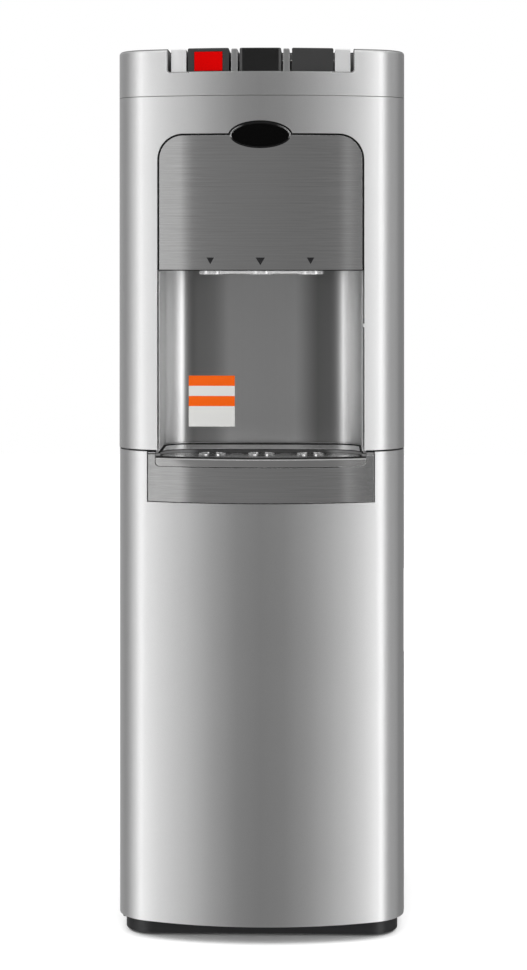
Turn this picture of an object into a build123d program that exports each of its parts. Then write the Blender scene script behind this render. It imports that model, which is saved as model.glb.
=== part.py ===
"""Bottom load water cooler, built as an assembly of named pieces.

Units are millimetres. +X is to the right, -Y is the front, +Z is up, and the
origin is the centre of the bounding box's bottom face.
"""
import os
from math import cos, radians, sin, sqrt

from build123d import *

# Body
NOSE = -184.0  # y of the bowed front's nose
BOW_R = 391.0  # radius of the bowed front in plan
CORNER_R = 50.0  # radius of the front corners in plan
HALF_W = 170.0  # half of the body's width
REAR_Y = 163.0  # outside of the rear flanges
CORNER_DEPTH = BOW_R - sqrt((BOW_R - CORNER_R) ** 2 - (HALF_W - CORNER_R) ** 2)
CORNER_Y = NOSE + round(CORNER_DEPTH, 1)  # centres of the front corners
WRAP_Y = CORNER_Y + 4.2  # where the bowed mouldings end on the sides
PANEL_FRONT = WRAP_Y + 2.0  # front edge of the side sheets
SHEET = 1.2  # side and rear sheet thickness
INSIDE = HALF_W - SHEET  # inner face of the side sheets
WALL = 3.0  # moulded wall thickness
LID_TOP = 1046.4
LID_BOTTOM = LID_TOP - 55.1
HOUSING_TOP = LID_BOTTOM - 0.6
HOUSING_BOTTOM = 576.0
SHELF_Z = HOUSING_BOTTOM
BODY_GAP = 0.3  # least gap between pieces that move apart
FAR = 3000.0  # reaches past the part on every side

# Frame around the bottle compartment's mouth
FRAME_FRONT = PANEL_FRONT + 6.0
FRAME_BACK = FRAME_FRONT + 4.0
POST_HALF = HALF_W - 29.0  # inner side of the posts

# Door
DOOR_INSET = 0.6
DOOR_SKIN = 2.5
DOOR_BOTTOM = 22.0
DOOR_TOP = HOUSING_BOTTOM - 2.0
DOOR_BACK = WRAP_Y - 1.0
DOOR_PAN_Y = DOOR_BACK - 41.0
HINGE_X = -(HALF_W - 12.0)
HINGE_Y = DOOR_BACK - 13.0
PIN_R = 4.0
RUNNING = 0.05
HINGE_PLATE = 4.0  # thickness of the lower hinge plate
LATCH_Z = 495.0  # middle of the magnet and its strike plate

# Niche, front panel and tray
NICHE_HALF = HALF_W - 51.1
NICHE_BACK = NOSE + 140.0
NICHE_R = 37.0
NICHE_WALL = 1.6
OPENING_HALF = NICHE_HALF + 2.5
GROOVE = 2.4  # width of the groove round the front panel
PANEL_HALF = OPENING_HALF - GROOVE
PANEL_BOTTOM = HOUSING_BOTTOM + 210.5
PANEL_TOP = HOUSING_TOP - 46.1
PANEL_BED = 1.6
BADGE_Z = PANEL_TOP - 0.1
SPOUT_PITCH = 58.5
SPOUT_Y = NOSE + 50.0
SPOUT_R = 6.0
SHROUD_BOTTOM = PANEL_BOTTOM - 4.6
NICHE_TOP = PANEL_BOTTOM + 13.5
UPSTAND = 2.4  # wall of the ledge that stands behind the liner
LEDGE_BACK = NICHE_BACK + NICHE_WALL + UPSTAND
LEDGE_TOP = HOUSING_BOTTOM - 3.0
LEDGE_HALF = HALF_W - 37.6
LEDGE_BOTTOM = LEDGE_TOP - 57.0
NOTCH_HALF = LEDGE_HALF + 1.4  # door notch around the ledge
NOTCH_Z = LEDGE_BOTTOM - 1.2
NOTCH_RELIEF = 3.0
BASIN_BACK = NOSE + 75.0
BASIN_FLOOR = LEDGE_TOP - 15.7
GRILLE_TOP = LEDGE_TOP - 4.5
TRAY_LIP_HALF = NICHE_HALF + 4.4
TRAY_LIP_BACK = NOSE + 26.0

# Buttons
BUTTON_PITCH = 61.0
BUTTON_HALF = 24.25
BUTTON_PIVOT_Y = NOSE + 70.0
BUTTON_PIVOT_Z = LID_TOP - 10.4
BUTTON_BOTTOM = LID_TOP - 29.9
BUTTON_TOP = LID_TOP + 0.6
BUTTON_SKIN = 2.5
NOTCH_LID_HALF = 109.0
LID_LIP = LID_TOP - 27.2
WELL_FLOOR = LID_TOP - 38.4
WELL_BACK = NOSE + 75.0
CONSOLE_FLOOR = WELL_FLOOR + 2.0
ROD_R = 1.5
ROD_HALF = 100.0

# Base
BASE_FRONT = NOSE + 41.0
BASE_HALF = HALF_W - 8.0
BASE_CORNER = 36.0
BASE_BOTTOM = 3.0
BASE_TOP = 42.0
BASE_STEP = DOOR_BACK + 5.0  # where the raised floor starts behind the door
BASE_LIP = DOOR_BOTTOM - 1.0  # top of the base under the door
BASE_LIP_MIDDLE = BASE_LIP - 4.0
LIP_MIDDLE_HALF = 125.0
FOOT_R = 15.0
FOOT_STEM_R = 5.0
FOOT_STEM_TOP = 12.0
BOTTLE_FLOOR = 34.0
BOTTLE_PAD = 1.0  # height of the round pad under the bottle
BOTTLE_R = 135.0
BOTTLE_Y = -11.0


def block(x0, x1, y0, y1, z0, z1):
    """Box from its limits."""
    return Pos((x0 + x1) / 2, (y0 + y1) / 2, (z0 + z1) / 2) * Box(x1 - x0, y1 - y0, z1 - z0)


def rod_x(x0, x1, y, z, r):
    """Round bar along X."""
    return Pos((x0 + x1) / 2, y, z) * Rot(0, 90, 0) * Cylinder(r, x1 - x0)


def rod_y(x, y0, y1, z, r):
    """Round bar along Y."""
    return Pos(x, (y0 + y1) / 2, z) * Rot(90, 0, 0) * Cylinder(r, y1 - y0)


def rod_z(x, y, z0, z1, r):
    """Round bar along Z."""
    return Pos(x, y, (z0 + z1) / 2) * Cylinder(r, z1 - z0)


def plan_face(inset, back, half, corner):
    """Body plan: bowed front, round front corners and a straight back."""
    bow = BOW_R - inset
    bow_y = NOSE + BOW_R
    cx = half - corner
    cy = bow_y - sqrt((bow - corner) ** 2 - cx ** 2)
    ux = cx / (bow - corner)
    uy = (cy - bow_y) / (bow - corner)
    jx = ux * bow
    jy = bow_y + uy * bow
    mid = sqrt((ux + 1) ** 2 + uy ** 2)
    mx = cx + corner * (ux + 1) / mid
    my = cy + corner * uy / mid
    edges = [
        ThreePointArc((-jx, jy), (0, NOSE + inset), (jx, jy)),
        ThreePointArc((jx, jy), (mx, my), (half, cy)),
        Line((half, cy), (half, back)),
        Line((half, back), (-half, back)),
        Line((-half, back), (-half, cy)),
        ThreePointArc((-half, cy), (-mx, my), (-jx, jy)),
    ]
    return make_face(edges)


def slab(inset, back, z0, z1, half=None, corner=None):
    """Solid with the body's plan, inset from the outer surface."""
    half = HALF_W - inset if half is None else half
    corner = CORNER_R - inset if corner is None else corner
    return extrude(Pos(0, 0, z0) * plan_face(inset, back, half, corner), z1 - z0, dir=(0, 0, 1))


def front_prism(sketch, y0=NOSE - 16, y1=NOSE + 74):
    """Sketch in x and z, extruded along Y."""
    plane = Plane(origin=(0, y1, 0), x_dir=(1, 0, 0), z_dir=(0, -1, 0))
    return extrude(plane * sketch, y1 - y0)


def skin_layer(outer, inner, z0, z1):
    """Curved sheet between two insets of the front surface."""
    return slab(outer, WRAP_Y, z0, z1) - slab(inner, WRAP_Y + 1, z0 - 1, z1 + 1)


def recess_plan(grow, back, z0, z1, front):
    """Niche plan with round rear corners, grown outwards by a distance."""
    half = NICHE_HALF + grow
    body = block(-half, half, front, back + grow, z0, z1)
    rear = body.edges().filter_by(Axis.Z).group_by(Axis.Y)[-1]
    return fillet(rear, NICHE_R + grow)


def tube(points, radius, r_out, r_in=0.0):
    """Round tube swept along a bent centre line."""
    path = FilletPolyline(*points, radius=radius)
    end = Plane(origin=path @ 0, z_dir=path % 0)
    body = sweep(end * Circle(r_out), path=path)
    if r_in:
        body = body - sweep(end * Circle(r_in), path=path)
    return body


def band(half, z0, z1):
    """Block that takes in the bowed front and nothing of the sides."""
    return block(-half, half, NOSE - 6, NOSE + 44, z0, z1)


def both_sides(part):
    """The part and its mirror image in the YZ plane."""
    return part + mirror(part, about=Plane.YZ)


def hinge_bores():
    """Running bores for the door's lower and upper hinge pins."""
    radius = PIN_R + RUNNING
    lower = rod_z(HINGE_X, HINGE_Y, DOOR_BOTTOM - 2, DOOR_BOTTOM + 8, radius)
    return lower + rod_z(HINGE_X, HINGE_Y, DOOR_TOP - 9, DOOR_TOP + 6, radius)


# Base and cabinet ---------------------------------------------------------


FEET = [(-118.0, -114.0), (118.0, -114.0), (-118.0, 138.0), (118.0, 138.0)]


def base_block(shrink, z0, z1):
    """Plinth's plan with round front corners, shrunk by a distance."""
    half = BASE_HALF - shrink
    body = block(-half, half, BASE_FRONT + shrink, REAR_Y - shrink, z0, z1)
    return fillet(body.edges().filter_by(Axis.Z).group_by(Axis.Y)[0], BASE_CORNER - shrink)


def lower_hinge_plate():
    """Plate that carries the lower hinge pin."""
    z1 = BASE_LIP + 0.5
    plate = block(HINGE_X - 7, HINGE_X + 30, HINGE_Y, FRAME_BACK - 2, z1 - HINGE_PLATE, z1)
    return plate + rod_z(HINGE_X, HINGE_Y, z1 - HINGE_PLATE, z1, 7.0)


def make_base_tray():
    """Plinth with a shallow well and a round pad that the bottle stands on."""
    ceiling = BOTTLE_FLOOR - WALL
    body = base_block(0, BASE_BOTTOM, BASE_TOP)
    under = base_block(WALL, BASE_BOTTOM - 1, ceiling)
    body -= under & block(-FAR, FAR, BASE_STEP + WALL, FAR, 0, BASE_TOP)
    body -= under & block(-FAR, FAR, -FAR, BASE_STEP + WALL, 0, BASE_LIP_MIDDLE - WALL)
    body -= base_block(WALL, BOTTLE_FLOOR, BASE_TOP + 1)
    body -= block(-FAR, FAR, NOSE, BASE_STEP, BASE_LIP, BASE_TOP + 1)
    body -= block(-LIP_MIDDLE_HALF, LIP_MIDDLE_HALF, NOSE, BASE_STEP, BASE_LIP_MIDDLE, BASE_TOP + 1)
    pad = rod_z(0, BOTTLE_Y, BOTTLE_FLOOR - 1, BOTTLE_FLOOR + BOTTLE_PAD, BOTTLE_R)
    body += pad & block(-FAR, FAR, FRAME_BACK + 3, FAR, 0, BASE_TOP)
    rib = BASE_HALF - WALL
    body += block(-rib, rib, 10, 13, BASE_BOTTOM + 4, ceiling)
    body += block(-2, 1, BASE_STEP, REAR_Y - WALL, BASE_BOTTOM + 4, ceiling)
    for x, y in FEET:
        top = (BOTTLE_FLOOR if y > BASE_STEP else BASE_LIP_MIDDLE) - WALL
        body += rod_z(x, y, BASE_BOTTOM, top, FOOT_STEM_R + 4)
        body -= rod_z(x, y, BASE_BOTTOM - 1, FOOT_STEM_TOP, FOOT_STEM_R)
    return body - lower_hinge_plate()


def make_rubber_feet():
    """Four feet with stems that push into the base."""
    feet = Part()
    for x, y in FEET:
        feet += rod_z(x, y, 0, BASE_BOTTOM, FOOT_R)
        feet += rod_z(x, y, BASE_BOTTOM, FOOT_STEM_TOP, FOOT_STEM_R)
    return feet


GRIP_Z = (330.0, 430.0)
GRIP_DEPTH = 22.0


def grip_cut(grow):
    """Volume of the finger grip behind the door's free edge."""
    return block(HALF_W - GRIP_DEPTH - grow, HALF_W + 2, PANEL_FRONT - 2, PANEL_FRONT + GRIP_DEPTH + grow,
                 GRIP_Z[0] - grow, GRIP_Z[1] + grow)


def make_side_grip():
    """Dark finger pocket that reaches behind the door's free edge."""
    pocket = block(0, HALF_W - 0.1, PANEL_FRONT, FAR, 0, FAR)
    return (grip_cut(2.0) & pocket) - grip_cut(0.0)


def side_panel():
    """Side sheet with flanges for the base, the lid and the rear."""
    panel = block(INSIDE, HALF_W, PANEL_FRONT, REAR_Y, DOOR_BOTTOM, HOUSING_TOP)
    low = BASE_TOP + SHEET
    high = HOUSING_TOP - 8.7
    panel += block(INSIDE - 18.8, INSIDE, REAR_Y - SHEET, REAR_Y, low, HOUSING_TOP)
    for z in (BASE_TOP, high):
        panel += block(INSIDE - 14.8, INSIDE, FRAME_BACK + 2, REAR_Y, z, z + SHEET)
    return panel


def make_right_side_panel():
    """Right side sheet with the grip's cut-out."""
    return side_panel() - grip_cut(2.0)


def make_left_side_panel():
    """Left side sheet, mirrored."""
    return mirror(side_panel(), about=Plane.YZ)


VENT_PITCH = 14.0
VENT_HEIGHT = 5.0
VENT_X = (30.0, 130.0)


def louvres(levels):
    """Rows of vent slots through a rear cover."""
    x0, x1 = VENT_X
    cuts = []
    for z in levels:
        for left, right in ((x0, x1), (-x1, -x0)):
            cuts.append(block(left, right, REAR_Y - 1, REAR_Y + 3, z, z + VENT_HEIGHT))
    return cuts


SWITCH_X = (-118.0, -84.0)
SWITCH_Z = HOUSING_TOP - 75.7
SWITCH_HOLE = (11.0, 15.0)  # half width and half height
GLAND = (118.0, HOUSING_TOP - 85.7)
GLAND_R = 8.0
DRAIN = (0.0, HOUSING_TOP - 85.7)
DRAIN_R = 9.0


def switch_hole(x, y0, y1):
    """Volume that a rear switch takes up in the rear cover."""
    half, rise = SWITCH_HOLE
    return block(x - half, x + half, y0, y1, SWITCH_Z - rise, SWITCH_Z + rise)


def make_rear_cover_upper():
    """Upper rear sheet with louvres, switch cut-outs, drain and cord holes."""
    sheet = block(4 - HALF_W, HALF_W - 4, REAR_Y, REAR_Y + SHEET, SHELF_Z + 4, HOUSING_TOP - 4.7)
    lowest = SHELF_Z + 34
    rows = int((SWITCH_Z - 75 - lowest) / VENT_PITCH)
    sheet -= louvres([lowest + VENT_PITCH * i for i in range(rows)])
    for x in SWITCH_X:
        sheet -= switch_hole(x, REAR_Y - 1, REAR_Y + 3)
    sheet -= rod_y(GLAND[0], REAR_Y - 1, REAR_Y + 3, GLAND[1], GLAND_R)
    return sheet - rod_y(DRAIN[0], REAR_Y - 1, REAR_Y + 3, DRAIN[1], DRAIN_R)


def make_rear_cover_lower():
    """Lower rear sheet with louvres near its top."""
    sheet = block(4 - HALF_W, HALF_W - 4, REAR_Y, REAR_Y + SHEET, BASE_TOP - 12, SHELF_Z)
    return sheet - louvres([SHELF_Z - 156 + VENT_PITCH * i for i in range(9)])


SCREW_LEVELS = (BASE_TOP + 18, 300.0, SHELF_Z - 26, SHELF_Z + 24, 780.0, HOUSING_TOP - 20.7)
SCREWS = [(x, z) for x in (12.0 - HALF_W, HALF_W - 12.0) for z in SCREW_LEVELS]


def make_cover_screws():
    """Identical pan-head screws that hold the rear covers."""
    screws = Part()
    for x, z in SCREWS:
        screws += rod_y(x, REAR_Y + SHEET, REAR_Y + SHEET + 2.2, z, 4.0)
    return screws


def make_front_frame():
    """Two posts and a sill around the bottle compartment's mouth."""
    posts = block(POST_HALF, INSIDE, FRAME_FRONT, FRAME_BACK, BASE_TOP, SHELF_Z + 0.8)
    posts += block(POST_HALF, BASE_HALF - WALL - 1, FRAME_FRONT, FRAME_BACK, BOTTLE_FLOOR, BASE_TOP)
    posts += block(INSIDE - 2, INSIDE, FRAME_FRONT, FRAME_BACK + 8, BASE_TOP + 18, SHELF_Z)
    sill = block(-POST_HALF, POST_HALF, FRAME_FRONT, FRAME_BACK, BOTTLE_FLOOR, BOTTLE_FLOOR + 1)
    return both_sides(posts) + sill - grip_cut(2.0)


PUMP_INLET = (97.0, 45.0, SHELF_Z - 28.0)
PUMP_OUTLET = (110.0, -5.0)
HOSE_R = 5.0


def make_mid_shelf():
    """Steel shelf over the bottle compartment that carries the machinery."""
    shelf = block(-INSIDE, INSIDE, LEDGE_BACK, REAR_Y - SHEET, SHELF_Z, SHELF_Z + 2)
    shelf += block(-INSIDE, INSIDE, LEDGE_BACK, LEDGE_BACK + 2, SHELF_Z - 10, SHELF_Z)
    shelf -= block(-LEDGE_HALF, LEDGE_HALF, LEDGE_BACK - 1, LEDGE_BACK + 2.4, SHELF_Z - 11, SHELF_Z)
    return shelf - rod_z(*PUMP_OUTLET, SHELF_Z - 1, SHELF_Z + 3, HOSE_R)


# Upper front ---------------------------------------------------------------


def panel_sketch(half, z0, z1, radius):
    """Panel outline in x and z, with round top corners."""
    sketch = Pos(0, (z0 + z1) / 2) * Rectangle(2 * half, z1 - z0)
    return fillet(sketch.vertices().group_by(Axis.Y)[-1], radius)


def badge_ellipse(grow):
    """Badge outline grown by a distance."""
    return Pos(0, BADGE_Z) * Ellipse(35.3 + grow, 15.0 + grow)


def make_upper_front_housing():
    """Bowed moulding around the niche and the front panel."""
    body = skin_layer(0, WALL, HOUSING_BOTTOM, HOUSING_TOP)
    bed = skin_layer(PANEL_BED, PANEL_BED + WALL, PANEL_BOTTOM + 1, PANEL_TOP + 21.4)
    body += bed & band(OPENING_HALF + 4.6, PANEL_BOTTOM + 1, PANEL_TOP + 21.4)
    body += both_sides(block(INSIDE - WALL, INSIDE, WRAP_Y - 4, FRAME_BACK - 1,
                             HOUSING_BOTTOM + 5, HOUSING_TOP - 9.7))
    opening = panel_sketch(OPENING_HALF, HOUSING_BOTTOM - 2, PANEL_TOP + GROOVE, 28.0 + GROOVE)
    cut = front_prism(opening) + front_prism(badge_ellipse(GROOVE))
    cut -= slab(PANEL_BED, 0, 0, FAR)
    body -= cut
    return body - band(OPENING_HALF, HOUSING_BOTTOM - 6, PANEL_BOTTOM + 1)


TRIANGLES = {-SPOUT_PITCH: (8.5, 7.5), 0.0: (10.8, 8.7), SPOUT_PITCH: (8.5, 7.5)}


def triangle(x):
    """Downward triangle of an indicator lens, in x and z."""
    width, height = TRIANGLES[x]
    top = PANEL_BOTTOM + 15.5
    return Polygon((x - width / 2, top), (x, top - height), (x + width / 2, top), align=None)


def make_front_panel():
    """Brushed steel panel over the spouts, with three lens holes."""
    sheet = skin_layer(-0.4, PANEL_BED, PANEL_BOTTOM, PANEL_TOP)
    sheet &= front_prism(panel_sketch(PANEL_HALF, PANEL_BOTTOM, PANEL_TOP, 28.0))
    hem = skin_layer(PANEL_BED, 6.0, PANEL_BOTTOM, PANEL_BOTTOM + 0.9)
    sheet += hem & band(NICHE_HALF - 2, PANEL_BOTTOM - 6, PANEL_BOTTOM + 6)
    sheet -= front_prism(badge_ellipse(0.0))
    for x in TRIANGLES:
        sheet -= front_prism(triangle(x))
    return sheet


def make_badge_bezel():
    """Oval rim around the bare badge."""
    ring = badge_ellipse(0.0) - badge_ellipse(-1.6)
    return front_prism(ring) & skin_layer(-1.0, PANEL_BED, BADGE_Z - 25, BADGE_Z + 25)


def make_badge_face():
    """Blank black oval face of the badge."""
    return front_prism(badge_ellipse(-1.6)) & skin_layer(-0.7, PANEL_BED, BADGE_Z - 25, BADGE_Z + 25)


def make_indicator_lenses():
    """Triangular lenses of the heating, power and cooling lights."""
    lenses = Part()
    for x in TRIANGLES:
        lenses += front_prism(triangle(x)) & skin_layer(-0.6, PANEL_BED, PANEL_BOTTOM, PANEL_BOTTOM + 25)
    return lenses


def make_niche_liner():
    """Satin steel recess behind the spouts: side walls, round corners, back and ceiling."""
    front = NOSE + 21.0
    body = recess_plan(NICHE_WALL, NICHE_BACK, LEDGE_TOP + 2, NICHE_TOP, front)
    body -= recess_plan(0, NICHE_BACK, LEDGE_TOP, NICHE_TOP - NICHE_WALL, front - 5)
    for x in TRIANGLES:
        body -= rod_z(x, SPOUT_Y, NICHE_TOP - 5, NICHE_TOP + 1, SPOUT_R)
    return body & slab(5.0, 0, 0, FAR)


LABEL_X = (27.9 - NICHE_HALF, 84.3 - NICHE_HALF)
LABEL_Z = (LEDGE_TOP + 21.0, LEDGE_TOP + 83.4)


def make_blank_label():
    """Bare label that follows the niche's back wall."""
    z0, z1 = LABEL_Z
    layer = recess_plan(-0.05, NICHE_BACK, z0, z1, NICHE_BACK - 60)
    layer -= recess_plan(-0.3, NICHE_BACK, z0 - 1, z1 + 1, NICHE_BACK - 61)
    return layer & block(*LABEL_X, NICHE_BACK - 20, NICHE_BACK, z0, z1)


def make_nozzle_shroud():
    """Bright strip with three rounded lobes around the spouts."""
    top = NICHE_TOP - NICHE_WALL
    body = block(-SPOUT_PITCH, SPOUT_PITCH, SPOUT_Y - 11, SPOUT_Y + 11, SHROUD_BOTTOM + 0.8, top)
    for x in TRIANGLES:
        body += rod_z(x, SPOUT_Y, SHROUD_BOTTOM, top, 15.0)
    for x in TRIANGLES:
        body -= rod_z(x, SPOUT_Y, SHROUD_BOTTOM - 1, top + 1, SPOUT_R)
    return body


def make_spouts():
    """Identical outlet tubes for hot, room-temperature and cold water."""
    body = Part()
    top = NICHE_TOP + 20.0
    for x in TRIANGLES:
        body += rod_z(x, SPOUT_Y, SHROUD_BOTTOM, top, SPOUT_R)
        body -= rod_z(x, SPOUT_Y, SHROUD_BOTTOM - 1, top + 1, SPOUT_R - 1.8)
    return body


# Lid and buttons -------------------------------------------------------------


def make_top_cover():
    """Lid with a well for the buttons that is open at the front."""
    body = slab(0, REAR_Y, LID_BOTTOM, LID_TOP)
    body = fillet(body.edges().filter_by(Axis.Z).group_by(Axis.Y)[-1], 8.0)
    body = fillet(body.faces().sort_by(Axis.Z)[-1].edges(), 4.0)
    body -= slab(WALL, REAR_Y - WALL, LID_BOTTOM - 1, LID_TOP - WALL)
    half = NOTCH_LID_HALF + WALL
    well = block(-half, half, NOSE, WELL_BACK + WALL, WELL_FLOOR - WALL, LID_TOP - 1)
    body += well & slab(WALL - 0.5, 0, 0, FAR)
    inner = block(-NOTCH_LID_HALF, NOTCH_LID_HALF, NOSE, WELL_BACK, WELL_FLOOR, LID_TOP + 5)
    body -= inner & slab(WALL, 0, 0, FAR)
    mouth = Pos(0, LID_LIP + 20) * Rectangle(2 * NOTCH_LID_HALF, 40)
    mouth = fillet(mouth.vertices().group_by(Axis.Y)[0], 3.0)
    return body - front_prism(mouth, NOSE - 16, NOSE + 60)


def make_console_base():
    """Dark floor under the buttons."""
    half = NOTCH_LID_HALF - BODY_GAP
    floor = block(-half, half, NOSE, WELL_BACK - BODY_GAP, WELL_FLOOR, CONSOLE_FLOOR)
    return floor & slab(WALL, 0, 0, FAR)


PAD_X = (87.0, 105.0)
BAR_X = (26.7, 34.0)


def make_console_trim():
    """Bright end pads and dividers that carry the hinge rod."""
    body = Part()
    for x0, x1 in (PAD_X, BAR_X):
        bar = block(x0, x1, NOSE, WELL_BACK - 0.5, CONSOLE_FLOOR, LID_TOP - 0.2) & slab(3.4, 0, 0, FAR)
        body += both_sides(fillet(bar.edges().group_by(Axis.Z)[-1], 1.5))
    return body - hinge_rod(ROD_R)


def hinge_rod(radius):
    """Straight rod on the buttons' axis."""
    return rod_x(-ROD_HALF, ROD_HALF, BUTTON_PIVOT_Y, BUTTON_PIVOT_Z, radius)


def make_button_hinge_rod():
    """Steel rod that the three buttons turn on."""
    return hinge_rod(ROD_R)


def button(x):
    """Hollow push button, hinged at its rear edge."""
    x0 = x - BUTTON_HALF
    x1 = x + BUTTON_HALF
    back = BUTTON_PIVOT_Y + 3
    hub = BUTTON_PIVOT_Y - 8
    body = block(x0, x1, NOSE, back, BUTTON_BOTTOM, BUTTON_TOP) & slab(4.2, 0, 0, FAR)
    body = fillet(body.faces().sort_by(Axis.Z)[-1].edges(), 2.0)
    body -= block(x0 + 2, x1 - 2, NOSE + 22, hub, BUTTON_BOTTOM - 1, BUTTON_TOP - BUTTON_SKIN)
    body -= block(x0 - 1, x1 + 1, hub, back + 7, BUTTON_BOTTOM - 1, BUTTON_PIVOT_Z - 6)
    body -= block(x0 - 1, x1 + 1, NOSE + 22, back + 7, BUTTON_BOTTOM - 1, BUTTON_PIVOT_Z - 12)
    return body - rod_x(x0 - 1, x1 + 1, BUTTON_PIVOT_Y, BUTTON_PIVOT_Z, ROD_R + RUNNING)


CATCH_HALF = 16.5
CATCH_Z = (BUTTON_TOP - 26.7, BUTTON_TOP - 4.4)


def make_hot_button():
    """Hot water button with a window for the child-safety catch."""
    half = CATCH_HALF + BODY_GAP
    window = block(-BUTTON_PITCH - half, -BUTTON_PITCH + half, NOSE, NOSE + 30,
                   CATCH_Z[0] - BODY_GAP, CATCH_Z[1] + BODY_GAP)
    return button(-BUTTON_PITCH) - window


def make_hot_safety_catch():
    """Red slide that has to be pushed in before the hot button moves."""
    x0 = -BUTTON_PITCH - CATCH_HALF
    x1 = -BUTTON_PITCH + CATCH_HALF
    body = block(x0, x1, NOSE, NOSE + 23, *CATCH_Z) & slab(4.0, 0, 0, FAR)
    return body - block(x0 + 2, x1 - 2, NOSE + 16, NOSE + 26, CATCH_Z[0] - 1, CATCH_Z[1] - 2)


def button_spring(x):
    """Return spring under a button."""
    height = BUTTON_TOP - BUTTON_SKIN - 2 * BODY_GAP - CONSOLE_FLOOR - 1.3
    coil = Helix(pitch=height / 7, height=height, radius=4.0)
    wire = sweep(Plane(origin=coil @ 0, z_dir=coil % 0) * Circle(0.6), path=coil)
    return Pos(x, NOSE + 36, CONSOLE_FLOOR + 0.7) * wire


def make_micro_switches():
    """One switch beside each spring."""
    body = Part()
    for x in (-BUTTON_PITCH, 0.0, BUTTON_PITCH):
        top = CONSOLE_FLOOR + 24
        body += block(x + 8, x + 18, NOSE + 42, NOSE + 56, CONSOLE_FLOOR, top)
        body += block(x + 11, x + 15, NOSE + 46, NOSE + 50, top, top + 6)
    return body


# Drip tray -------------------------------------------------------------------


def basin_plan(clear, z0, z1):
    """Plan of the drip tray's basin, reduced by a clearance."""
    return recess_plan(-clear, BASIN_BACK, z0, z1, NOSE - 10)


def make_tray_ledge():
    """Ledge under the niche: rim, basin for the tray and a hollow underside."""
    back = LEDGE_BACK
    half = LEDGE_HALF - WALL
    body = slab(1.0, back, LEDGE_BOTTOM, LEDGE_TOP)
    body &= block(-LEDGE_HALF, LEDGE_HALF, -FAR, back, LEDGE_BOTTOM, LEDGE_TOP)
    hollow = slab(1.0 + WALL, back - WALL, LEDGE_BOTTOM - 1, BASIN_FLOOR - WALL)
    body -= hollow & block(-half, half, -FAR, back - WALL, 0, FAR)
    body -= block(-half, half, BASIN_BACK + WALL, back - WALL, LEDGE_BOTTOM, LEDGE_TOP - WALL)
    body -= basin_plan(0, BASIN_FLOOR, LEDGE_TOP + 1)
    mouth = TRAY_LIP_HALF + 0.6
    body -= block(-mouth, mouth, NOSE - 5, TRAY_LIP_BACK, BASIN_FLOOR, LEDGE_TOP + 1)
    stand = recess_plan(NICHE_WALL + UPSTAND, NICHE_BACK, LEDGE_TOP, LEDGE_TOP + 8, TRAY_LIP_BACK)
    stand -= recess_plan(NICHE_WALL, NICHE_BACK, LEDGE_TOP - 1, LEDGE_TOP + 9, NOSE + 20)
    return body + stand


TRAY_CORNER = 4.0  # radius of the tray lip's lower corners


def tray_mouth(grow):
    """Outline of the tray's lip in x and z, grown by a distance."""
    half = TRAY_LIP_HALF + grow
    z0 = BASIN_FLOOR + 0.4 - grow
    sketch = Pos(0, z0 + 20) * Rectangle(2 * half, 40)
    return fillet(sketch.vertices().group_by(Axis.Y)[0], TRAY_CORNER + grow)


def make_tray_fascia():
    """Brushed steel plate on the ledge's front, notched for the tray."""
    top = LEDGE_TOP - 2.8
    sheet = skin_layer(-1.0, 1.0, LEDGE_BOTTOM, top) & band(LEDGE_HALF, LEDGE_BOTTOM, top)
    return sheet - front_prism(tray_mouth(1.0))


def make_drip_tray():
    """Shallow pull-out tray with a rounded front lip."""
    clear = 0.5
    floor = BASIN_FLOOR + BODY_GAP
    top = GRILLE_TOP + 1
    body = basin_plan(clear, floor, GRILLE_TOP) & slab(2.0, 0, 0, FAR)
    body -= basin_plan(clear + 2.0, GRILLE_TOP - 2.0 - BODY_GAP, top) & slab(7.0, 0, 0, FAR)
    body -= basin_plan(clear + 5.0, floor + 1.6, top) & slab(10.0, 0, 0, FAR)
    lip = slab(-0.6, 0, floor, GRILLE_TOP) - slab(7.0, 1, 0, FAR)
    lip &= front_prism(tray_mouth(0.0), NOSE - 16, TRAY_LIP_BACK)
    lip = fillet(lip.edges().filter_by(GeomType.CIRCLE).group_by(Axis.Z)[-1].sort_by(Axis.Y)[0], 2.5)
    return body + lip


RING_X = (-58.0, 0.0, 58.0)
RING_R = 16.0
RING_RISE = 1.6
SLOT_WIDTH = 3.0
FAN_REACH = 36.0  # from a ring's centre to the middle of a fanned slot


def slot(x, y, length, width, angle):
    """Vertical cutter for one rounded slot in the grille."""
    return extrude(Pos(x, y, GRILLE_TOP - 8.5) * Rot(0, 0, angle) * SlotOverall(length, width), 12)


def grille_slots():
    """Slots inside, between and before the rings, and fanned slots at both ends."""
    cuts = []
    for x in RING_X:
        for dx, length in ((-8.4, 12.0), (-4.2, 18.0), (0.0, 20.0), (4.2, 18.0), (8.4, 12.0)):
            cuts.append(slot(x + dx, SPOUT_Y, length, 2.4, 90))
    for x in (RING_X[0] / 2, RING_X[2] / 2):
        for dy, length in ((-13.0, 20.0), (-6.5, 18.0), (0.0, 16.0), (6.5, 14.0), (13.0, 12.0)):
            cuts.append(slot(x, SPOUT_Y + dy, length, SLOT_WIDTH, 0))
    for i in range(-4, 5):
        cuts.append(slot(19.0 * i, SPOUT_Y - 24, 15.0, SLOT_WIDTH, 0))
    for side in (-1, 1):
        for fan in (-34.0, -18.0, -2.0, 14.0):
            dx = FAN_REACH * cos(radians(fan))
            dy = FAN_REACH * sin(radians(fan))
            turn = fan if side > 0 else 180 - fan
            cuts.append(slot(side * (RING_X[2] + dx), SPOUT_Y + dy, 20.0, SLOT_WIDTH, turn))
    return cuts


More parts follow.
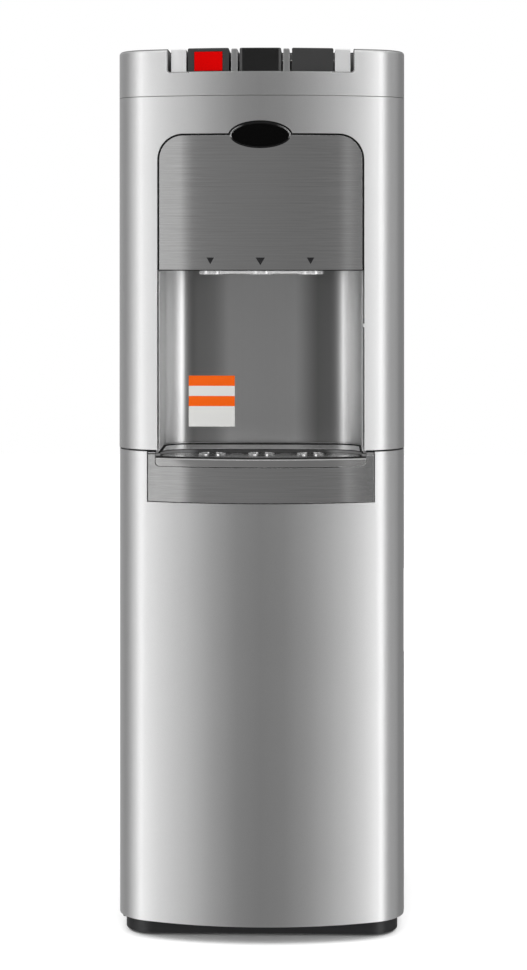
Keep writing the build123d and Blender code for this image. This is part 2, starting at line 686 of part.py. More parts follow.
def make_drip_grille():
    """Slotted plate with a raised ring under each spout."""
    clear = 0.5 + 2.0 + 0.4
    body = basin_plan(clear, GRILLE_TOP - 2.0, GRILLE_TOP) & slab(7.4, 0, 0, FAR)
    for x in RING_X:
        ring = rod_z(x, SPOUT_Y, GRILLE_TOP - 1, GRILLE_TOP + RING_RISE, RING_R)
        ring -= rod_z(x, SPOUT_Y, GRILLE_TOP - 2, GRILLE_TOP + RING_RISE + 1, RING_R - 3.5)
        body += fillet(ring.edges().group_by(Axis.Z)[-1], 1.0)
    return body - grille_slots()


# Door ------------------------------------------------------------------------


def notch_block(half, z0):
    """Volume of the door's top notch."""
    return block(-half, half, -FAR, FRAME_BACK + 6, z0, DOOR_TOP + 26)


def door_cavity(inset, margin):
    """Inside of the door skin, kept clear of the top notch."""
    z0 = DOOR_BOTTOM + inset - DOOR_INSET
    z1 = DOOR_TOP - inset + DOOR_INSET
    relief = NOTCH_HALF + NOTCH_RELIEF + margin
    return slab(inset, DOOR_BACK + 1, z0, z1) - notch_block(relief, NOTCH_Z - margin)


def make_door_skin():
    """Bowed outer skin with closed top, bottom and notch edges."""
    inset = DOOR_INSET + DOOR_SKIN
    body = slab(DOOR_INSET, DOOR_BACK, DOOR_BOTTOM, DOOR_TOP)
    body -= door_cavity(inset, DOOR_SKIN)
    body -= notch_block(NOTCH_HALF, NOTCH_Z)
    half = NOTCH_HALF + NOTCH_RELIEF
    body -= block(-half, half, NOSE + 28, FRAME_BACK + 6, NOTCH_Z, DOOR_TOP + 26)
    return body - hinge_bores()


def make_door_liner():
    """Inner pan of the door."""
    inset = DOOR_INSET + DOOR_SKIN
    rear = block(-FAR, FAR, DOOR_PAN_Y - 2, DOOR_BACK, 0, FAR)
    body = door_cavity(inset, DOOR_SKIN) & rear
    inner = door_cavity(inset + 2.0, DOOR_SKIN + 2.0)
    body -= inner & block(-FAR, FAR, DOOR_PAN_Y, DOOR_BACK + 5, 0, FAR)
    return body - hinge_bores()


def make_door_strike_plate():
    """Steel block that meets the magnet."""
    return block(HALF_W - 21, HALF_W - 5.1, DOOR_BACK - 3, FRAME_FRONT - 4.3, LATCH_Z - 11, LATCH_Z + 11)


def make_door_magnet():
    """Magnet on the front frame."""
    return block(HALF_W - 21, HALF_W - 7, FRAME_FRONT - 4, FRAME_FRONT, LATCH_Z - 13, LATCH_Z + 13)


def make_door_hinge_brackets():
    """Two brackets with the door's hinge pins."""
    lower = lower_hinge_plate() + rod_z(HINGE_X, HINGE_Y, BASE_LIP, DOOR_BOTTOM + 12, PIN_R)
    z0 = SHELF_Z + 0.8
    upper = rod_z(HINGE_X, HINGE_Y, z0, z0 + 3, 7.0)
    upper += block(HINGE_X - 7, HINGE_X + 30, HINGE_Y, FRAME_BACK + 4, z0, z0 + 3)
    return lower + upper + rod_z(HINGE_X, HINGE_Y, DOOR_TOP - 12, z0, PIN_R)


# Bottle connection and machinery ---------------------------------------------


PROBE = (-118.0, 144.0)
CAP_Z = 462.0  # underside of the parked probe cap
DIP_R = 8.0


def make_probe_holder():
    """Clip on the rear wall that parks the bottle probe."""
    x, y = PROBE
    body = Part()
    for z in (180.0, 380.0):
        body += block(x - 14, x + 14, y - 4, REAR_Y, z, z + 20)
    return body - rod_z(x, y, 0, CAP_Z, DIP_R)


def make_dip_tube():
    """Rigid tube that reaches to the bottle's bottom."""
    x, y = PROBE
    return rod_z(x, y, 60, CAP_Z, DIP_R) - rod_z(x, y, 59, CAP_Z + 1, DIP_R - 2)


def make_probe_cap():
    """Cap that closes the bottle's neck round the dip tube."""
    x, y = PROBE
    return rod_z(x, y, CAP_Z, CAP_Z + 24, 15.0) + rod_z(x, y, CAP_Z + 24, CAP_Z + 34, 9.0)


def make_suction_hose():
    """Soft hose from the probe cap to the pump."""
    x, y = PROBE
    to_x, to_y, z = PUMP_INLET
    points = [(x, y, CAP_Z + 34), (x, y, z), (to_x, y, z), PUMP_INLET]
    return tube(points, 16.0, HOSE_R, HOSE_R - 1.6)


def make_water_pump():
    """Pump that hangs under the shelf."""
    x, y, z = PUMP_INLET
    body = block(x - 25, x + 27, y - 67, y - 12, SHELF_Z - 54, SHELF_Z - 18) + rod_y(x, y - 12, y, z, 9.0)
    body += block(x - 17, x + 19, y - 61, y - 18, SHELF_Z - 18, SHELF_Z)
    return body - rod_z(*PUMP_OUTLET, SHELF_Z - 9, SHELF_Z + 1, HOSE_R)


HOT = (83.8 - INSIDE, 62.0, 54.0)  # x, y and radius of the hot tank
COLD = (INSIDE - 86.8, 62.0, 64.0)  # x, y and radius of the cold tank
TANK_TOP = HOUSING_TOP - 55.7
HOT_BOTTOM = SHELF_Z + 194.0
COLD_BOTTOM = SHELF_Z + 164.0
TANK_WALL = 2.0
FOAM = 14.0
LEG_HEIGHT = 12.0
FEED_R = 4.2


def make_water_hoses():
    """Supply from the pump and feeds from the tanks to the spouts."""
    out_x, out_y = PUMP_OUTLET
    x, y, _ = COLD
    z = COLD_BOTTOM - 28
    points = [(out_x, out_y, SHELF_Z - 9), (out_x, out_y, z), (x, y, z), (x, y, COLD_BOTTOM + 1)]
    runs = tube(points, 9.0, HOSE_R)
    top = NICHE_TOP + 19
    bend = TANK_TOP - 63
    for x, back in ((-SPOUT_PITCH, 16.0), (SPOUT_PITCH, 6.0)):
        runs += tube([(x, SPOUT_Y, top), (x, SPOUT_Y, bend), (x, back, bend)], 12.0, FEED_R)
    back = NICHE_BACK + 16
    low = SHELF_Z + 64
    points = [(0, SPOUT_Y, top), (0, SPOUT_Y, bend - 20), (0, back, bend - 20)]
    points += [(0, back, low), (0, out_y, low), (out_x - 2, out_y, low)]
    runs += tube(points, 9.0, FEED_R)
    return runs - tank_block(HOT, HOT_BOTTOM) - tank_block(COLD, COLD_BOTTOM)


def tank_block(place, bottom, shrink=0.0):
    """Outside of a tank, shrunk by a distance."""
    x, y, radius = place
    return rod_z(x, y, bottom + shrink, TANK_TOP - shrink, radius - shrink)


def make_hot_tank():
    """Closed heating vessel on three legs."""
    x, y, _ = HOT
    body = tank_block(HOT, HOT_BOTTOM) - tank_block(HOT, HOT_BOTTOM, TANK_WALL)
    body += rod_z(x, y, TANK_TOP, TANK_TOP + 13, 10.0)
    for angle in (90.0, 210.0, 330.0):
        dx = 40.0 * cos(radians(angle))
        dy = 40.0 * sin(radians(angle))
        body += rod_z(x + dx, y + dy, HOT_BOTTOM - LEG_HEIGHT, HOT_BOTTOM, 6.0)
    return body


def make_cold_tank():
    """Closed chilling vessel."""
    return tank_block(COLD, COLD_BOTTOM) - tank_block(COLD, COLD_BOTTOM, TANK_WALL)


def foam_block():
    """Outside of the cold tank's foam jacket."""
    return tank_block(COLD, COLD_BOTTOM, -FOAM)


def make_tank_insulation():
    """Foam jacket around the cold tank."""
    return foam_block() - tank_block(COLD, COLD_BOTTOM) - make_water_hoses()


def make_tank_carrier():
    """Bracket that holds both tanks above the machinery."""
    high = HOT_BOTTOM - LEG_HEIGHT
    low = COLD_BOTTOM - FOAM
    left = COLD[0] - COLD[2] - FOAM
    step = COLD[1] + COLD[2] - 10
    body = block(-INSIDE, INSIDE, step + 14, REAR_Y - SHEET, high - 10, high)
    body += block(-INSIDE, left - 10, HOT[1] - HOT[2], step + 14, high - 2, high)
    body += block(left, INSIDE, HOT[1] - HOT[2] - 2, step + 2, low - 2, low)
    body += block(left, INSIDE, step, step + 2, low - 2, high)
    body += block(left, INSIDE, step, step + 15, high - 2, high)
    body -= foam_block()
    return body - rod_z(COLD[0], COLD[1], low - 6, low + 4, HOSE_R)


COMPRESSOR = (-84.0, 78.0, 58.0)  # x, y and radius of the shell
GROMMET_HEIGHT = 10.0


def make_compressor():
    """Hermetic compressor with a domed shell and a foot plate."""
    x, y, radius = COMPRESSOR
    plate = SHELF_Z + 2 + GROMMET_HEIGHT
    shell = rod_z(x, y, plate + 2, plate + 134, radius)
    shell = fillet(shell.edges().filter_by(GeomType.CIRCLE), 20.0)
    return shell + block(x - 66, x + 66, y - 46, y + 46, plate, plate + 6)


def make_compressor_grommets():
    """Rubber mounts under the compressor's foot plate."""
    body = Part()
    x, y, _ = COMPRESSOR
    z = SHELF_Z + 2
    for dx in (-58.0, 58.0):
        for dy in (-38.0, 38.0):
            body += rod_z(x + dx, y + dy, z, z + GROMMET_HEIGHT, 7.0)
    return body


BOX_X = (30.0, 146.0)
BOX_Y = (66.0, 150.0)


def make_control_box():
    """Closed electrical box on the shelf."""
    z0 = SHELF_Z + 2
    z1 = SHELF_Z + 114
    body = fillet(block(*BOX_X, *BOX_Y, z0, z1).edges().filter_by(Axis.Z), 5.0)
    inner = block(BOX_X[0] + WALL, BOX_X[1] - WALL, BOX_Y[0] + WALL, BOX_Y[1] - WALL, z0 + WALL, z1 - WALL)
    return body - inner


# Rear ------------------------------------------------------------------------


COIL_Y = REAR_Y + 15.0
COIL_R = 2.5
COIL_HALF = 118.0
COIL_PITCH = 36.0
COIL_RUNS = 18
COIL_Z = 150.0
WIRE_R = 0.9


def make_condenser():
    """Serpentine tube with cross wires."""
    points = []
    for i in range(COIL_RUNS):
        z = COIL_Z + COIL_PITCH * i
        near, far = (-COIL_HALF, COIL_HALF) if i % 2 == 0 else (COIL_HALF, -COIL_HALF)
        points += [(near, COIL_Y, z), (far, COIL_Y, z)]
    body = tube(points, COIL_PITCH / 2 - 0.1, COIL_R)
    top = COIL_Z + COIL_PITCH * (COIL_RUNS - 1)
    y = COIL_Y + COIL_R + 0.6
    wires = [rod_z(-98 + 28 * i, y, COIL_Z - 10, top + 10, WIRE_R) for i in range(8)]
    return body + wires


def make_condenser_brackets():
    """Plastic bumpers that hold the condenser and space it from a wall."""
    body = Part()
    for i in (1, 8, 15):
        z = COIL_Z + COIL_PITCH * i
        clip = block(COIL_HALF - 14, COIL_HALF + 10, REAR_Y + SHEET, COIL_Y + 7, z - 9, z + 9)
        body += both_sides(fillet(clip.edges().filter_by(Axis.X).group_by(Axis.Y)[-1], 3.0))
    return body - make_condenser()


ROCKER_TILT = 7.0
ROCKER_HALF = 6.5


def rocker(x):
    """Rocker of a rear switch, tilted to its off position about its pins."""
    profile = Polygon((-4, -9.2), (5.0, -9.2), (3.6, 0), (5.0, 9.2), (-4, 9.2), align=None)
    plane = Plane(origin=(-ROCKER_HALF, 0, 0), x_dir=(0, 1, 0), z_dir=(1, 0, 0))
    body = extrude(plane * profile, 2 * ROCKER_HALF)
    body += rod_x(-ROCKER_HALF - 2, ROCKER_HALF + 2, 0, 0, ROD_R)
    return Pos(x, REAR_Y, SWITCH_Z) * Rot(-ROCKER_TILT, 0, 0) * body


def make_switch_frames():
    """Bezels of the two rear switches."""
    body = Part()
    for x in SWITCH_X:
        body += block(x - 13, x + 13, REAR_Y + SHEET, REAR_Y + 3.2, SWITCH_Z - 17, SWITCH_Z + 17)
        body += switch_hole(x, REAR_Y - 14, REAR_Y + SHEET)
        body -= block(x - 7, x + 7, REAR_Y - 12, REAR_Y + 8, SWITCH_Z - 12.5, SWITCH_Z + 12.5)
        body -= rod_x(x - 9, x + 9, REAR_Y, SWITCH_Z, ROD_R + RUNNING)
    return body


def make_cord_gland():
    """Inlet bushing for the mains cord."""
    x, z = GLAND
    body = rod_y(x, REAR_Y + SHEET, REAR_Y + 7, z, 11.0) + rod_y(x, REAR_Y - 10, REAR_Y + SHEET, z, GLAND_R)
    return body - rod_y(x, REAR_Y - 11, REAR_Y + 8, z, 3.6)


def make_drain_outlet():
    """Stub through the rear cover that the drain cap closes."""
    x, z = DRAIN
    body = rod_y(x, REAR_Y - 14, REAR_Y + 9, z, DRAIN_R)
    body += rod_y(x, REAR_Y + SHEET, REAR_Y + 3.2, z, 13.0)
    return body - rod_y(x, REAR_Y - 15, REAR_Y + 10, z, 6.0)


def make_drain_cap():
    """Cap over the drain stub."""
    x, z = DRAIN
    body = rod_y(x, REAR_Y + 4.0, REAR_Y + 13, z, 12.0)
    return body - rod_y(x, REAR_Y + 3.0, REAR_Y + 9.6, z, DRAIN_R + 0.4)


NODES = {
    "base_tray": make_base_tray,
    "rubber_feet": make_rubber_feet,
    "left_side_panel": make_left_side_panel,
    "right_side_panel": make_right_side_panel,
    "rear_cover_upper": make_rear_cover_upper,
    "rear_cover_lower": make_rear_cover_lower,
    "cover_screws": make_cover_screws,
    "front_frame": make_front_frame,
    "mid_shelf": make_mid_shelf,
    "upper_front_housing": make_upper_front_housing,
    "front_panel": make_front_panel,
    "badge_bezel": make_badge_bezel,
    "badge_face": make_badge_face,
    "indicator_lenses": make_indicator_lenses,
    "niche_liner": make_niche_liner,
    "blank_label": make_blank_label,
    "nozzle_shroud": make_nozzle_shroud,
    "spouts": make_spouts,
    "top_cover": make_top_cover,
    "console_base": make_console_base,
    "console_trim": make_console_trim,
    "button_hinge_rod": make_button_hinge_rod,
    "hot_button": make_hot_button,
    "room_button": lambda: button(0.0),
    "cold_button": lambda: button(BUTTON_PITCH),
    "hot_safety_catch": make_hot_safety_catch,
    "hot_button_spring": lambda: button_spring(-BUTTON_PITCH),
    "room_button_spring": lambda: button_spring(0.0),
    "cold_button_spring": lambda: button_spring(BUTTON_PITCH),
    "micro_switches": make_micro_switches,
    "tray_ledge": make_tray_ledge,
    "tray_fascia": make_tray_fascia,
    "drip_tray": make_drip_tray,
    "drip_grille": make_drip_grille,
    "door_skin": make_door_skin,
    "door_liner": make_door_liner,
    "side_grip": make_side_grip,
    "door_strike_plate": make_door_strike_plate,
    "door_magnet": make_door_magnet,
    "door_hinge_brackets": make_door_hinge_brackets,
    "probe_holder": make_probe_holder,
    "dip_tube": make_dip_tube,
    "probe_cap": make_probe_cap,
    "suction_hose": make_suction_hose,
    "water_pump": make_water_pump,
    "water_hoses": make_water_hoses,
    "hot_tank": make_hot_tank,
    "cold_tank": make_cold_tank,
    "tank_insulation": make_tank_insulation,
    "tank_carrier": make_tank_carrier,
    "compressor": make_compressor,
    "compressor_grommets": make_compressor_grommets,
    "control_box": make_control_box,
    "condenser": make_condenser,
    "condenser_brackets": make_condenser_brackets,
    "rear_fittings": lambda: make_switch_frames() + make_cord_gland() + make_drain_outlet(),
    "heating_switch": lambda: rocker(SWITCH_X[0]),
    "cooling_switch": lambda: rocker(SWITCH_X[1]),
    "drain_cap": make_drain_cap,
}

os.makedirs("parts", exist_ok=True)
for name, make in NODES.items():
    export_step(make(), f"parts/{name}.step")
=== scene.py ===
"""Looks of a bottom load water cooler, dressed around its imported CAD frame.

Every length is in metres, in the frame's own axes: +X right, -Y front, +Z up.
"""
from __future__ import annotations

import logging
import math
from dataclasses import dataclass, field
from enum import Enum
from typing import ClassVar, Sequence

import bpy
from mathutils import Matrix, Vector

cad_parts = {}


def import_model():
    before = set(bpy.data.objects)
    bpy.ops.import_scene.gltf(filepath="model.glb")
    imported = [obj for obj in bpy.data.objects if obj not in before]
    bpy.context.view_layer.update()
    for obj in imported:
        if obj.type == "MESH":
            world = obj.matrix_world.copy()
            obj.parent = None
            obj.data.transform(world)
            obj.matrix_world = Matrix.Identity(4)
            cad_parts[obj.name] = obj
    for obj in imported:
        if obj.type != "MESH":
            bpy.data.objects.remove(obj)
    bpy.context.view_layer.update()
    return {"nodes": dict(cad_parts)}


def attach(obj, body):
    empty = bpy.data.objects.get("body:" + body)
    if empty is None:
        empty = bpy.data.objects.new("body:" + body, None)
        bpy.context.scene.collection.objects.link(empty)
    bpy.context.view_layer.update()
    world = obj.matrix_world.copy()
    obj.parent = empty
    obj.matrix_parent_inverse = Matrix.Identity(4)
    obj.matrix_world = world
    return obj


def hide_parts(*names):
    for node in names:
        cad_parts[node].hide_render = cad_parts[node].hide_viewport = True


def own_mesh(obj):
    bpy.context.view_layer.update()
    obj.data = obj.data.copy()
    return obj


LOG = logging.getLogger("cooler")
MM = 0.001
Number = float | int
Colour = tuple[float, float, float]
Ramp = tuple[tuple[float, float], ...]
Sockets = dict[str, object]


class Grain(Enum):
    """Direction that a brushed surface's scratches run in."""

    ALONG_X = (0.6, 60.0, 900.0)
    ALONG_Z = (900.0, 60.0, 0.6)


# ------------------------------------------------------------------ shader maths


@dataclass
class Wire:
    """A shader socket that takes part in ordinary expressions."""

    tree: "Shader"
    socket: bpy.types.NodeSocket

    def _math(self, operation: str, a: object, b: object = None) -> "Wire":
        """Output of a new Math node on one or two values or wires."""
        inputs = {0: a} if b is None else {0: a, 1: b}
        return self.tree.node("ShaderNodeMath", {"operation": operation}, inputs)

    def __add__(self, other: object) -> "Wire":
        """Sum."""
        return self._math("ADD", self, other)

    def __radd__(self, other: object) -> "Wire":
        """Sum with the number first."""
        return self._math("ADD", other, self)

    def __sub__(self, other: object) -> "Wire":
        """Difference."""
        return self._math("SUBTRACT", self, other)

    def __rsub__(self, other: object) -> "Wire":
        """Difference with the number first."""
        return self._math("SUBTRACT", other, self)

    def __mul__(self, other: object) -> "Wire":
        """Product."""
        return self._math("MULTIPLY", self, other)

    def __rmul__(self, other: object) -> "Wire":
        """Product with the number first."""
        return self._math("MULTIPLY", other, self)

    def __truediv__(self, other: object) -> "Wire":
        """Quotient."""
        return self._math("DIVIDE", self, other)

    def above(self, limit: Number) -> "Wire":
        """1 where the value is greater than limit, else 0."""
        return self._math("GREATER_THAN", self, limit)

    def below(self, limit: Number) -> "Wire":
        """1 where the value is less than limit, else 0."""
        return self._math("LESS_THAN", self, limit)

    def absolute(self) -> "Wire":
        """Absolute value."""
        return self._math("ABSOLUTE", self)

    def root(self) -> "Wire":
        """Square root."""
        return self._math("SQRT", self)

    def floor_at(self, limit: Number) -> "Wire":
        """The value, or the limit where the value is less."""
        return self._math("MAXIMUM", self, limit)

    def cap_at(self, limit: Number) -> "Wire":
        """The value, or the limit where the value is greater."""
        return self._math("MINIMUM", self, limit)

    def folded(self, step: float) -> "Wire":
        """Runs up to the step and back again, over and over."""
        return self._math("PINGPONG", self, step)

    def centred(self) -> "Wire":
        """The value less one half, so that a noise swings about zero."""
        return self - 0.5

    def turned_from(self, forward: "Wire") -> "Wire":
        """Angle round from a forward component, in radians."""
        return self._math("ARCTAN2", self, forward)

    def remap(self, low: Number, high: Number, to_low: Number = 0.0, to_high: Number = 1.0) -> "Wire":
        """Value mapped from one range to another, and kept inside it."""
        values = {0: self, 1: low, 2: high, 3: to_low, 4: to_high}
        return self.tree.node("ShaderNodeMapRange", {"clamp": True}, values)


class Shader:
    """A material's or world's node tree, written as expressions."""

    EDGE_SAMPLES = 4

    def __init__(self, tree: bpy.types.NodeTree) -> None:
        """Empties the tree and builds in it."""
        self.tree = tree
        tree.nodes.clear()

    def node(self, kind: str, settings: dict[str, object], inputs: dict[str | int, object],
             output: str | int = 0) -> Wire:
        """Adds one node.

        Args:
            kind: the node's type name.
            settings: attributes that are set first; "stops" fills a colour ramp.
            inputs: socket name or index to a value or a wire.
            output: name or index of the output to return.

        Returns:
            The chosen output as a wire.
        """
        made = self.tree.nodes.new(kind)
        for key, value in settings.items():
            if key == "stops":
                self._fill_ramp(made.color_ramp, value)
            else:
                setattr(made, key, value)
        for key, value in inputs.items():
            socket = made.inputs[key]
            if isinstance(value, Wire):
                self.tree.links.new(value.socket, socket)
            else:
                socket.default_value = value
        return Wire(self, made.outputs[output])

    @staticmethod
    def _fill_ramp(ramp: bpy.types.ColorRamp, stops: Sequence[tuple[float, Number]]) -> None:
        """Sets a ramp's stops to grey levels or colours.

        Args:
            ramp: the colour ramp.
            stops: pairs of a position and a grey level or a colour.
        """
        while len(ramp.elements) > 1:
            ramp.elements.remove(ramp.elements[-1])
        for index, (position, level) in enumerate(stops):
            element = ramp.elements[0] if index == 0 else ramp.elements.new(position)
            element.position = position
            colour = level if isinstance(level, tuple) else (level, level, level)
            element.color = (*colour, 1.0)

    def ends_in(self, surface: Wire, kind: str) -> None:
        """Links a finished shader to an output node of the given kind."""
        output = self.tree.nodes.new(kind)
        self.tree.links.new(surface.socket, output.inputs["Surface"])

    def place(self) -> Wire:
        """Position on the object, in metres."""
        return self.node("ShaderNodeTexCoord", {}, {}, "Object")

    def part(self, vector: Wire, axis: str) -> Wire:
        """One component of a vector."""
        return self.node("ShaderNodeSeparateXYZ", {}, {0: vector}, axis)

    def scaled(self, factors: Sequence[float]) -> Wire:
        """Position stretched along each axis."""
        return self.node("ShaderNodeMapping", {}, {"Vector": self.place(), "Scale": tuple(factors)})

    def noise(self, vector: Wire, scale: Number, detail: Number = 2.0, rough: Number = 0.5) -> Wire:
        """Noise value from 0 to 1."""
        inputs = {"Vector": vector, "Scale": scale, "Detail": detail, "Roughness": rough}
        return self.node("ShaderNodeTexNoise", {}, inputs, 0)

    def blend(self, factor: object, a: object, b: object) -> Wire:
        """Mix of two colours."""
        return self.node("ShaderNodeMix", {"data_type": "RGBA"}, {0: factor, 6: a, 7: b}, 2)

    def tinted(self, colour: object, tint: object) -> Wire:
        """Product of two colours."""
        settings = {"data_type": "RGBA", "blend_type": "MULTIPLY"}
        return self.node("ShaderNodeMix", settings, {0: 1.0, 6: colour, 7: tint}, 2)

    def bump(self, height: Wire, distance: Number, strength: Number = 1.0,
             base: Wire | None = None) -> Wire:
        """Normal from a relief.

        Args:
            height: the relief, from 0 to 1.
            distance: how high a relief of 1 stands, in metres.
            strength: how much of the relief shows.
            base: the normal that it is laid on, if any.

        Returns:
            The bumped normal.
        """
        inputs = {"Height": height, "Distance": distance, "Strength": strength}
        if base is not None:
            inputs["Normal"] = base
        return self.node("ShaderNodeBump", {}, inputs)

    def soft_edges(self, radius: Number) -> Wire:
        """Normal that rounds hard edges."""
        return self.node("ShaderNodeBevel", {"samples": self.EDGE_SAMPLES}, {"Radius": radius})


def rgba(colour: Sequence[float]) -> tuple[float, float, float, float]:
    """Colour with full alpha."""
    return (colour[0], colour[1], colour[2], 1.0)


def grey(level: float) -> Colour:
    """Neutral colour of one level."""
    return (level, level, level)


def scaled_colour(colour: Sequence[float], factor: float) -> tuple[float, float, float, float]:
    """Colour made darker or lighter, kept within white, with full alpha."""
    return rgba([min(1.0, factor * c) for c in colour])


# Colour and roughness of painted shade in grooves, joints and hollows.
PAINTED_SHADE_BLACK = grey(0.006)
PAINTED_SHADE_ROUGHNESS = 0.9


# ------------------------------------------------------------------ finishes


@dataclass(frozen=True)
class Finish:
    """A surface finish; each kind dresses one Principled shader."""

    name: str
    colour: Colour
    roughness: float = 0.5
    metallic: float = 0.0
    edge: float = 0.4 * MM
    specular: float = 0.5

    def surface(self, shader: Shader) -> Sockets:
        """Sockets of the Principled shader that this finish sets, by name."""
        return {"Base Color": rgba(self.colour), "Roughness": self.roughness}

    def with_painted_shade(self, shader: Shader, sockets: Sockets, mask: Wire, colour: Sequence[float]) -> Sockets:
        """Paints shade over the surface where the mask is 1, as a plain dark matte colour.

        Args:
            shader: the material's node tree.
            sockets: what the finish sets elsewhere.
            mask: 1 where shade is painted, else 0.
            colour: the painted shade's colour.

        Returns:
            The sockets with the gap in them.
        """
        sockets["Base Color"] = shader.blend(mask, sockets["Base Color"], rgba(colour))
        sockets["Metallic"] = (1.0 - mask) * self.metallic
        sockets["Roughness"] = sockets["Roughness"] * (1.0 - mask) + PAINTED_SHADE_ROUGHNESS * mask
        return sockets

    def material(self) -> bpy.types.Material:
        """Builds the material, or finds it if it is there already.

        Returns:
            The finished material.
        """
        found = bpy.data.materials.get(self.name)
        if found is not None and found.get("dressed"):
            return found
        made = bpy.data.materials.new(self.name)
        made.use_nodes = True
        made["dressed"] = True
        shader = Shader(made.node_tree)
        sockets = {"Metallic": self.metallic, "Specular IOR Level": self.specular}
        sockets.update(self.surface(shader))
        surface = shader.node("ShaderNodeBsdfPrincipled", {}, sockets)
        shader.ends_in(surface, "ShaderNodeOutputMaterial")
        return made


@dataclass(frozen=True)
class MetallicPaint(Finish):
    """Silver paint with fine flakes under a thin gloss, and painted shade that darkens it towards the bow's
    middle.
    """

    flake_size: float = 0.35 * MM
    coat: float = 0.04
    reach: float = 0.12
    # Painted shade: tone by distance from the middle as a share of the reach.
    painted_shade_tones: Ramp = (
        (0.0, 0.75), (0.23, 0.81), (0.35, 0.90), (0.47, 0.95),
        (0.58, 1.0), (0.72, 1.0), (0.84, 0.95), (1.0, 0.90))
    coat_roughness: ClassVar[float] = 0.25
    flake_tones: ClassVar[tuple[float, float]] = (0.93, 1.06)
    flake_band: ClassVar[tuple[float, float]] = (0.3, 0.7)
    flake_swing: ClassVar[float] = 0.05
    cloud_scale: ClassVar[float] = 14.0
    cloud_swing: ClassVar[float] = 0.03
    peel_scale: ClassVar[float] = 420.0
    peel_height: ClassVar[float] = 0.02 * MM
    peel_strength: ClassVar[float] = 0.25

    def surface(self, shader: Shader) -> Sockets:
        """Flakes vary the colour and roughness a little; painted shade darkens the middle; orange peel
        moves the normal.

        Args:
            shader: the material's node tree.

        Returns:
            Socket name to value or wire.
        """
        flakes = shader.noise(shader.place(), 1.0 / self.flake_size, detail=1.0)
        cloud = shader.noise(shader.place(), self.cloud_scale, detail=3.0)
        dark, light = (scaled_colour(self.colour, tone) for tone in self.flake_tones)
        plain = shader.blend(flakes.remap(*self.flake_band), dark, light)
        aside = shader.part(shader.place(), "X").absolute() / self.reach
        # Painted shade, darkest in the middle.
        colour = shader.tinted(plain, shader.node("ShaderNodeValToRGB", {"stops": self.painted_shade_tones}, {0: aside}))
        rough = self.roughness + self.flake_swing * flakes.centred() + self.cloud_swing * cloud.centred()
        peel = shader.noise(shader.place(), self.peel_scale, detail=2.0)
        normal = shader.bump(peel, self.peel_height, self.peel_strength, shader.soft_edges(self.edge))
        return {"Base Color": colour, "Roughness": rough, "Coat Weight": self.coat,
                "Coat Roughness": self.coat_roughness, "Normal": normal}


@dataclass(frozen=True)
class GroovedPaint(MetallicPaint):
    """Silver paint with painted shade in the narrow groove round the steel panel."""

    bow_centre_y: float = 0.207
    groove_radius: float = 0.3906
    groove_half: float = 0.1225
    groove_base: float = 0.786

    def surface(self, shader: Shader) -> Sockets:
        """Distance from the bow's axis tells the groove's floor from the outer face.

        Args:
            shader: the material's node tree.

        Returns:
            Socket name to value or wire.
        """
        place = shader.place()
        x = shader.part(place, "X")
        y = shader.part(place, "Y") - self.bow_centre_y
        inside = x.absolute().below(self.groove_half) * shader.part(place, "Z").above(self.groove_base)
        # Painted shade: the groove's floor turns black.
        sunk = (x * x + y * y).root().below(self.groove_radius) * inside
        return self.with_painted_shade(shader, super().surface(shader), sunk, PAINTED_SHADE_BLACK)


@dataclass(frozen=True)
class NotchedPaint(MetallicPaint):
    """Silver paint with painted shade round the buttons' mouth and along the lid's top edge."""

    mouth_half: float = 0.1101
    mouth_base: float = 1.0190
    mouth_back: float = -0.1055
    mouth_corner: float = 0.0040
    pad_start: float = 0.0835
    pad_line: float = 0.0010
    top_edge: float = 1.0445
    top_fade: float = 0.0006
    top_edge_shade: float = 0.30
    painted_shade_colour: Colour = grey(0.26)

    def surface(self, shader: Shader) -> Sockets:
        """A box with round lower corners picks the mouth's edges and inner faces, where shade is painted.

        Args:
            shader: the material's node tree.

        Returns:
            Socket name to value or wire.
        """
        place = shader.place()
        x = shader.part(place, "X").absolute()
        z = shader.part(place, "Z")
        across = (x - (self.mouth_half - self.mouth_corner)).floor_at(0.0)
        base = self.mouth_base - x.above(self.pad_start) * self.pad_line
        down = (base + self.mouth_corner - z).floor_at(0.0)
        mouth = (across * across + down * down).root().below(self.mouth_corner)
        mouth = mouth * shader.part(place, "Y").below(self.mouth_back)
        # Painted shade on the mouth's edges and inner faces.
        sockets = self.with_painted_shade(shader, super().surface(shader), mouth, self.painted_shade_colour)
        # Painted shade along the lid's top edge.
        edge = z.remap(self.top_edge, self.top_edge + self.top_fade, 1.0, self.top_edge_shade)
        sockets["Base Color"] = shader.tinted(sockets["Base Color"], edge)
        return sockets


@dataclass(frozen=True)
class TrimPaint(MetallicPaint):
    """Bright paint on the end pads, with painted shade between the edges of the dividers."""

    dividers_end: float = 0.045
    divider_middle: float = 0.03035
    divider_flat: float = 0.0026
    divider_shade: float = 0.80
    pad_metallic: float = 0.74

    def surface(self, shader: Shader) -> Sockets:
        """Distance from the middle tells the dividers from the pads.

        Args:
            shader: the material's node tree.

        Returns:
            Socket name to value or wire.
        """
        sockets = super().surface(shader)
        x = shader.part(shader.place(), "X").absolute()
        pad = x.above(self.dividers_end)
        flat = (x - self.divider_middle).absolute().below(self.divider_flat)
        # Painted shade on the dividers' faces.
        tone = 1.0 - flat * (1.0 - self.divider_shade)
        sockets["Base Color"] = shader.tinted(sockets["Base Color"], tone)
        sockets["Metallic"] = self.metallic - pad * (self.metallic - self.pad_metallic)
        return sockets


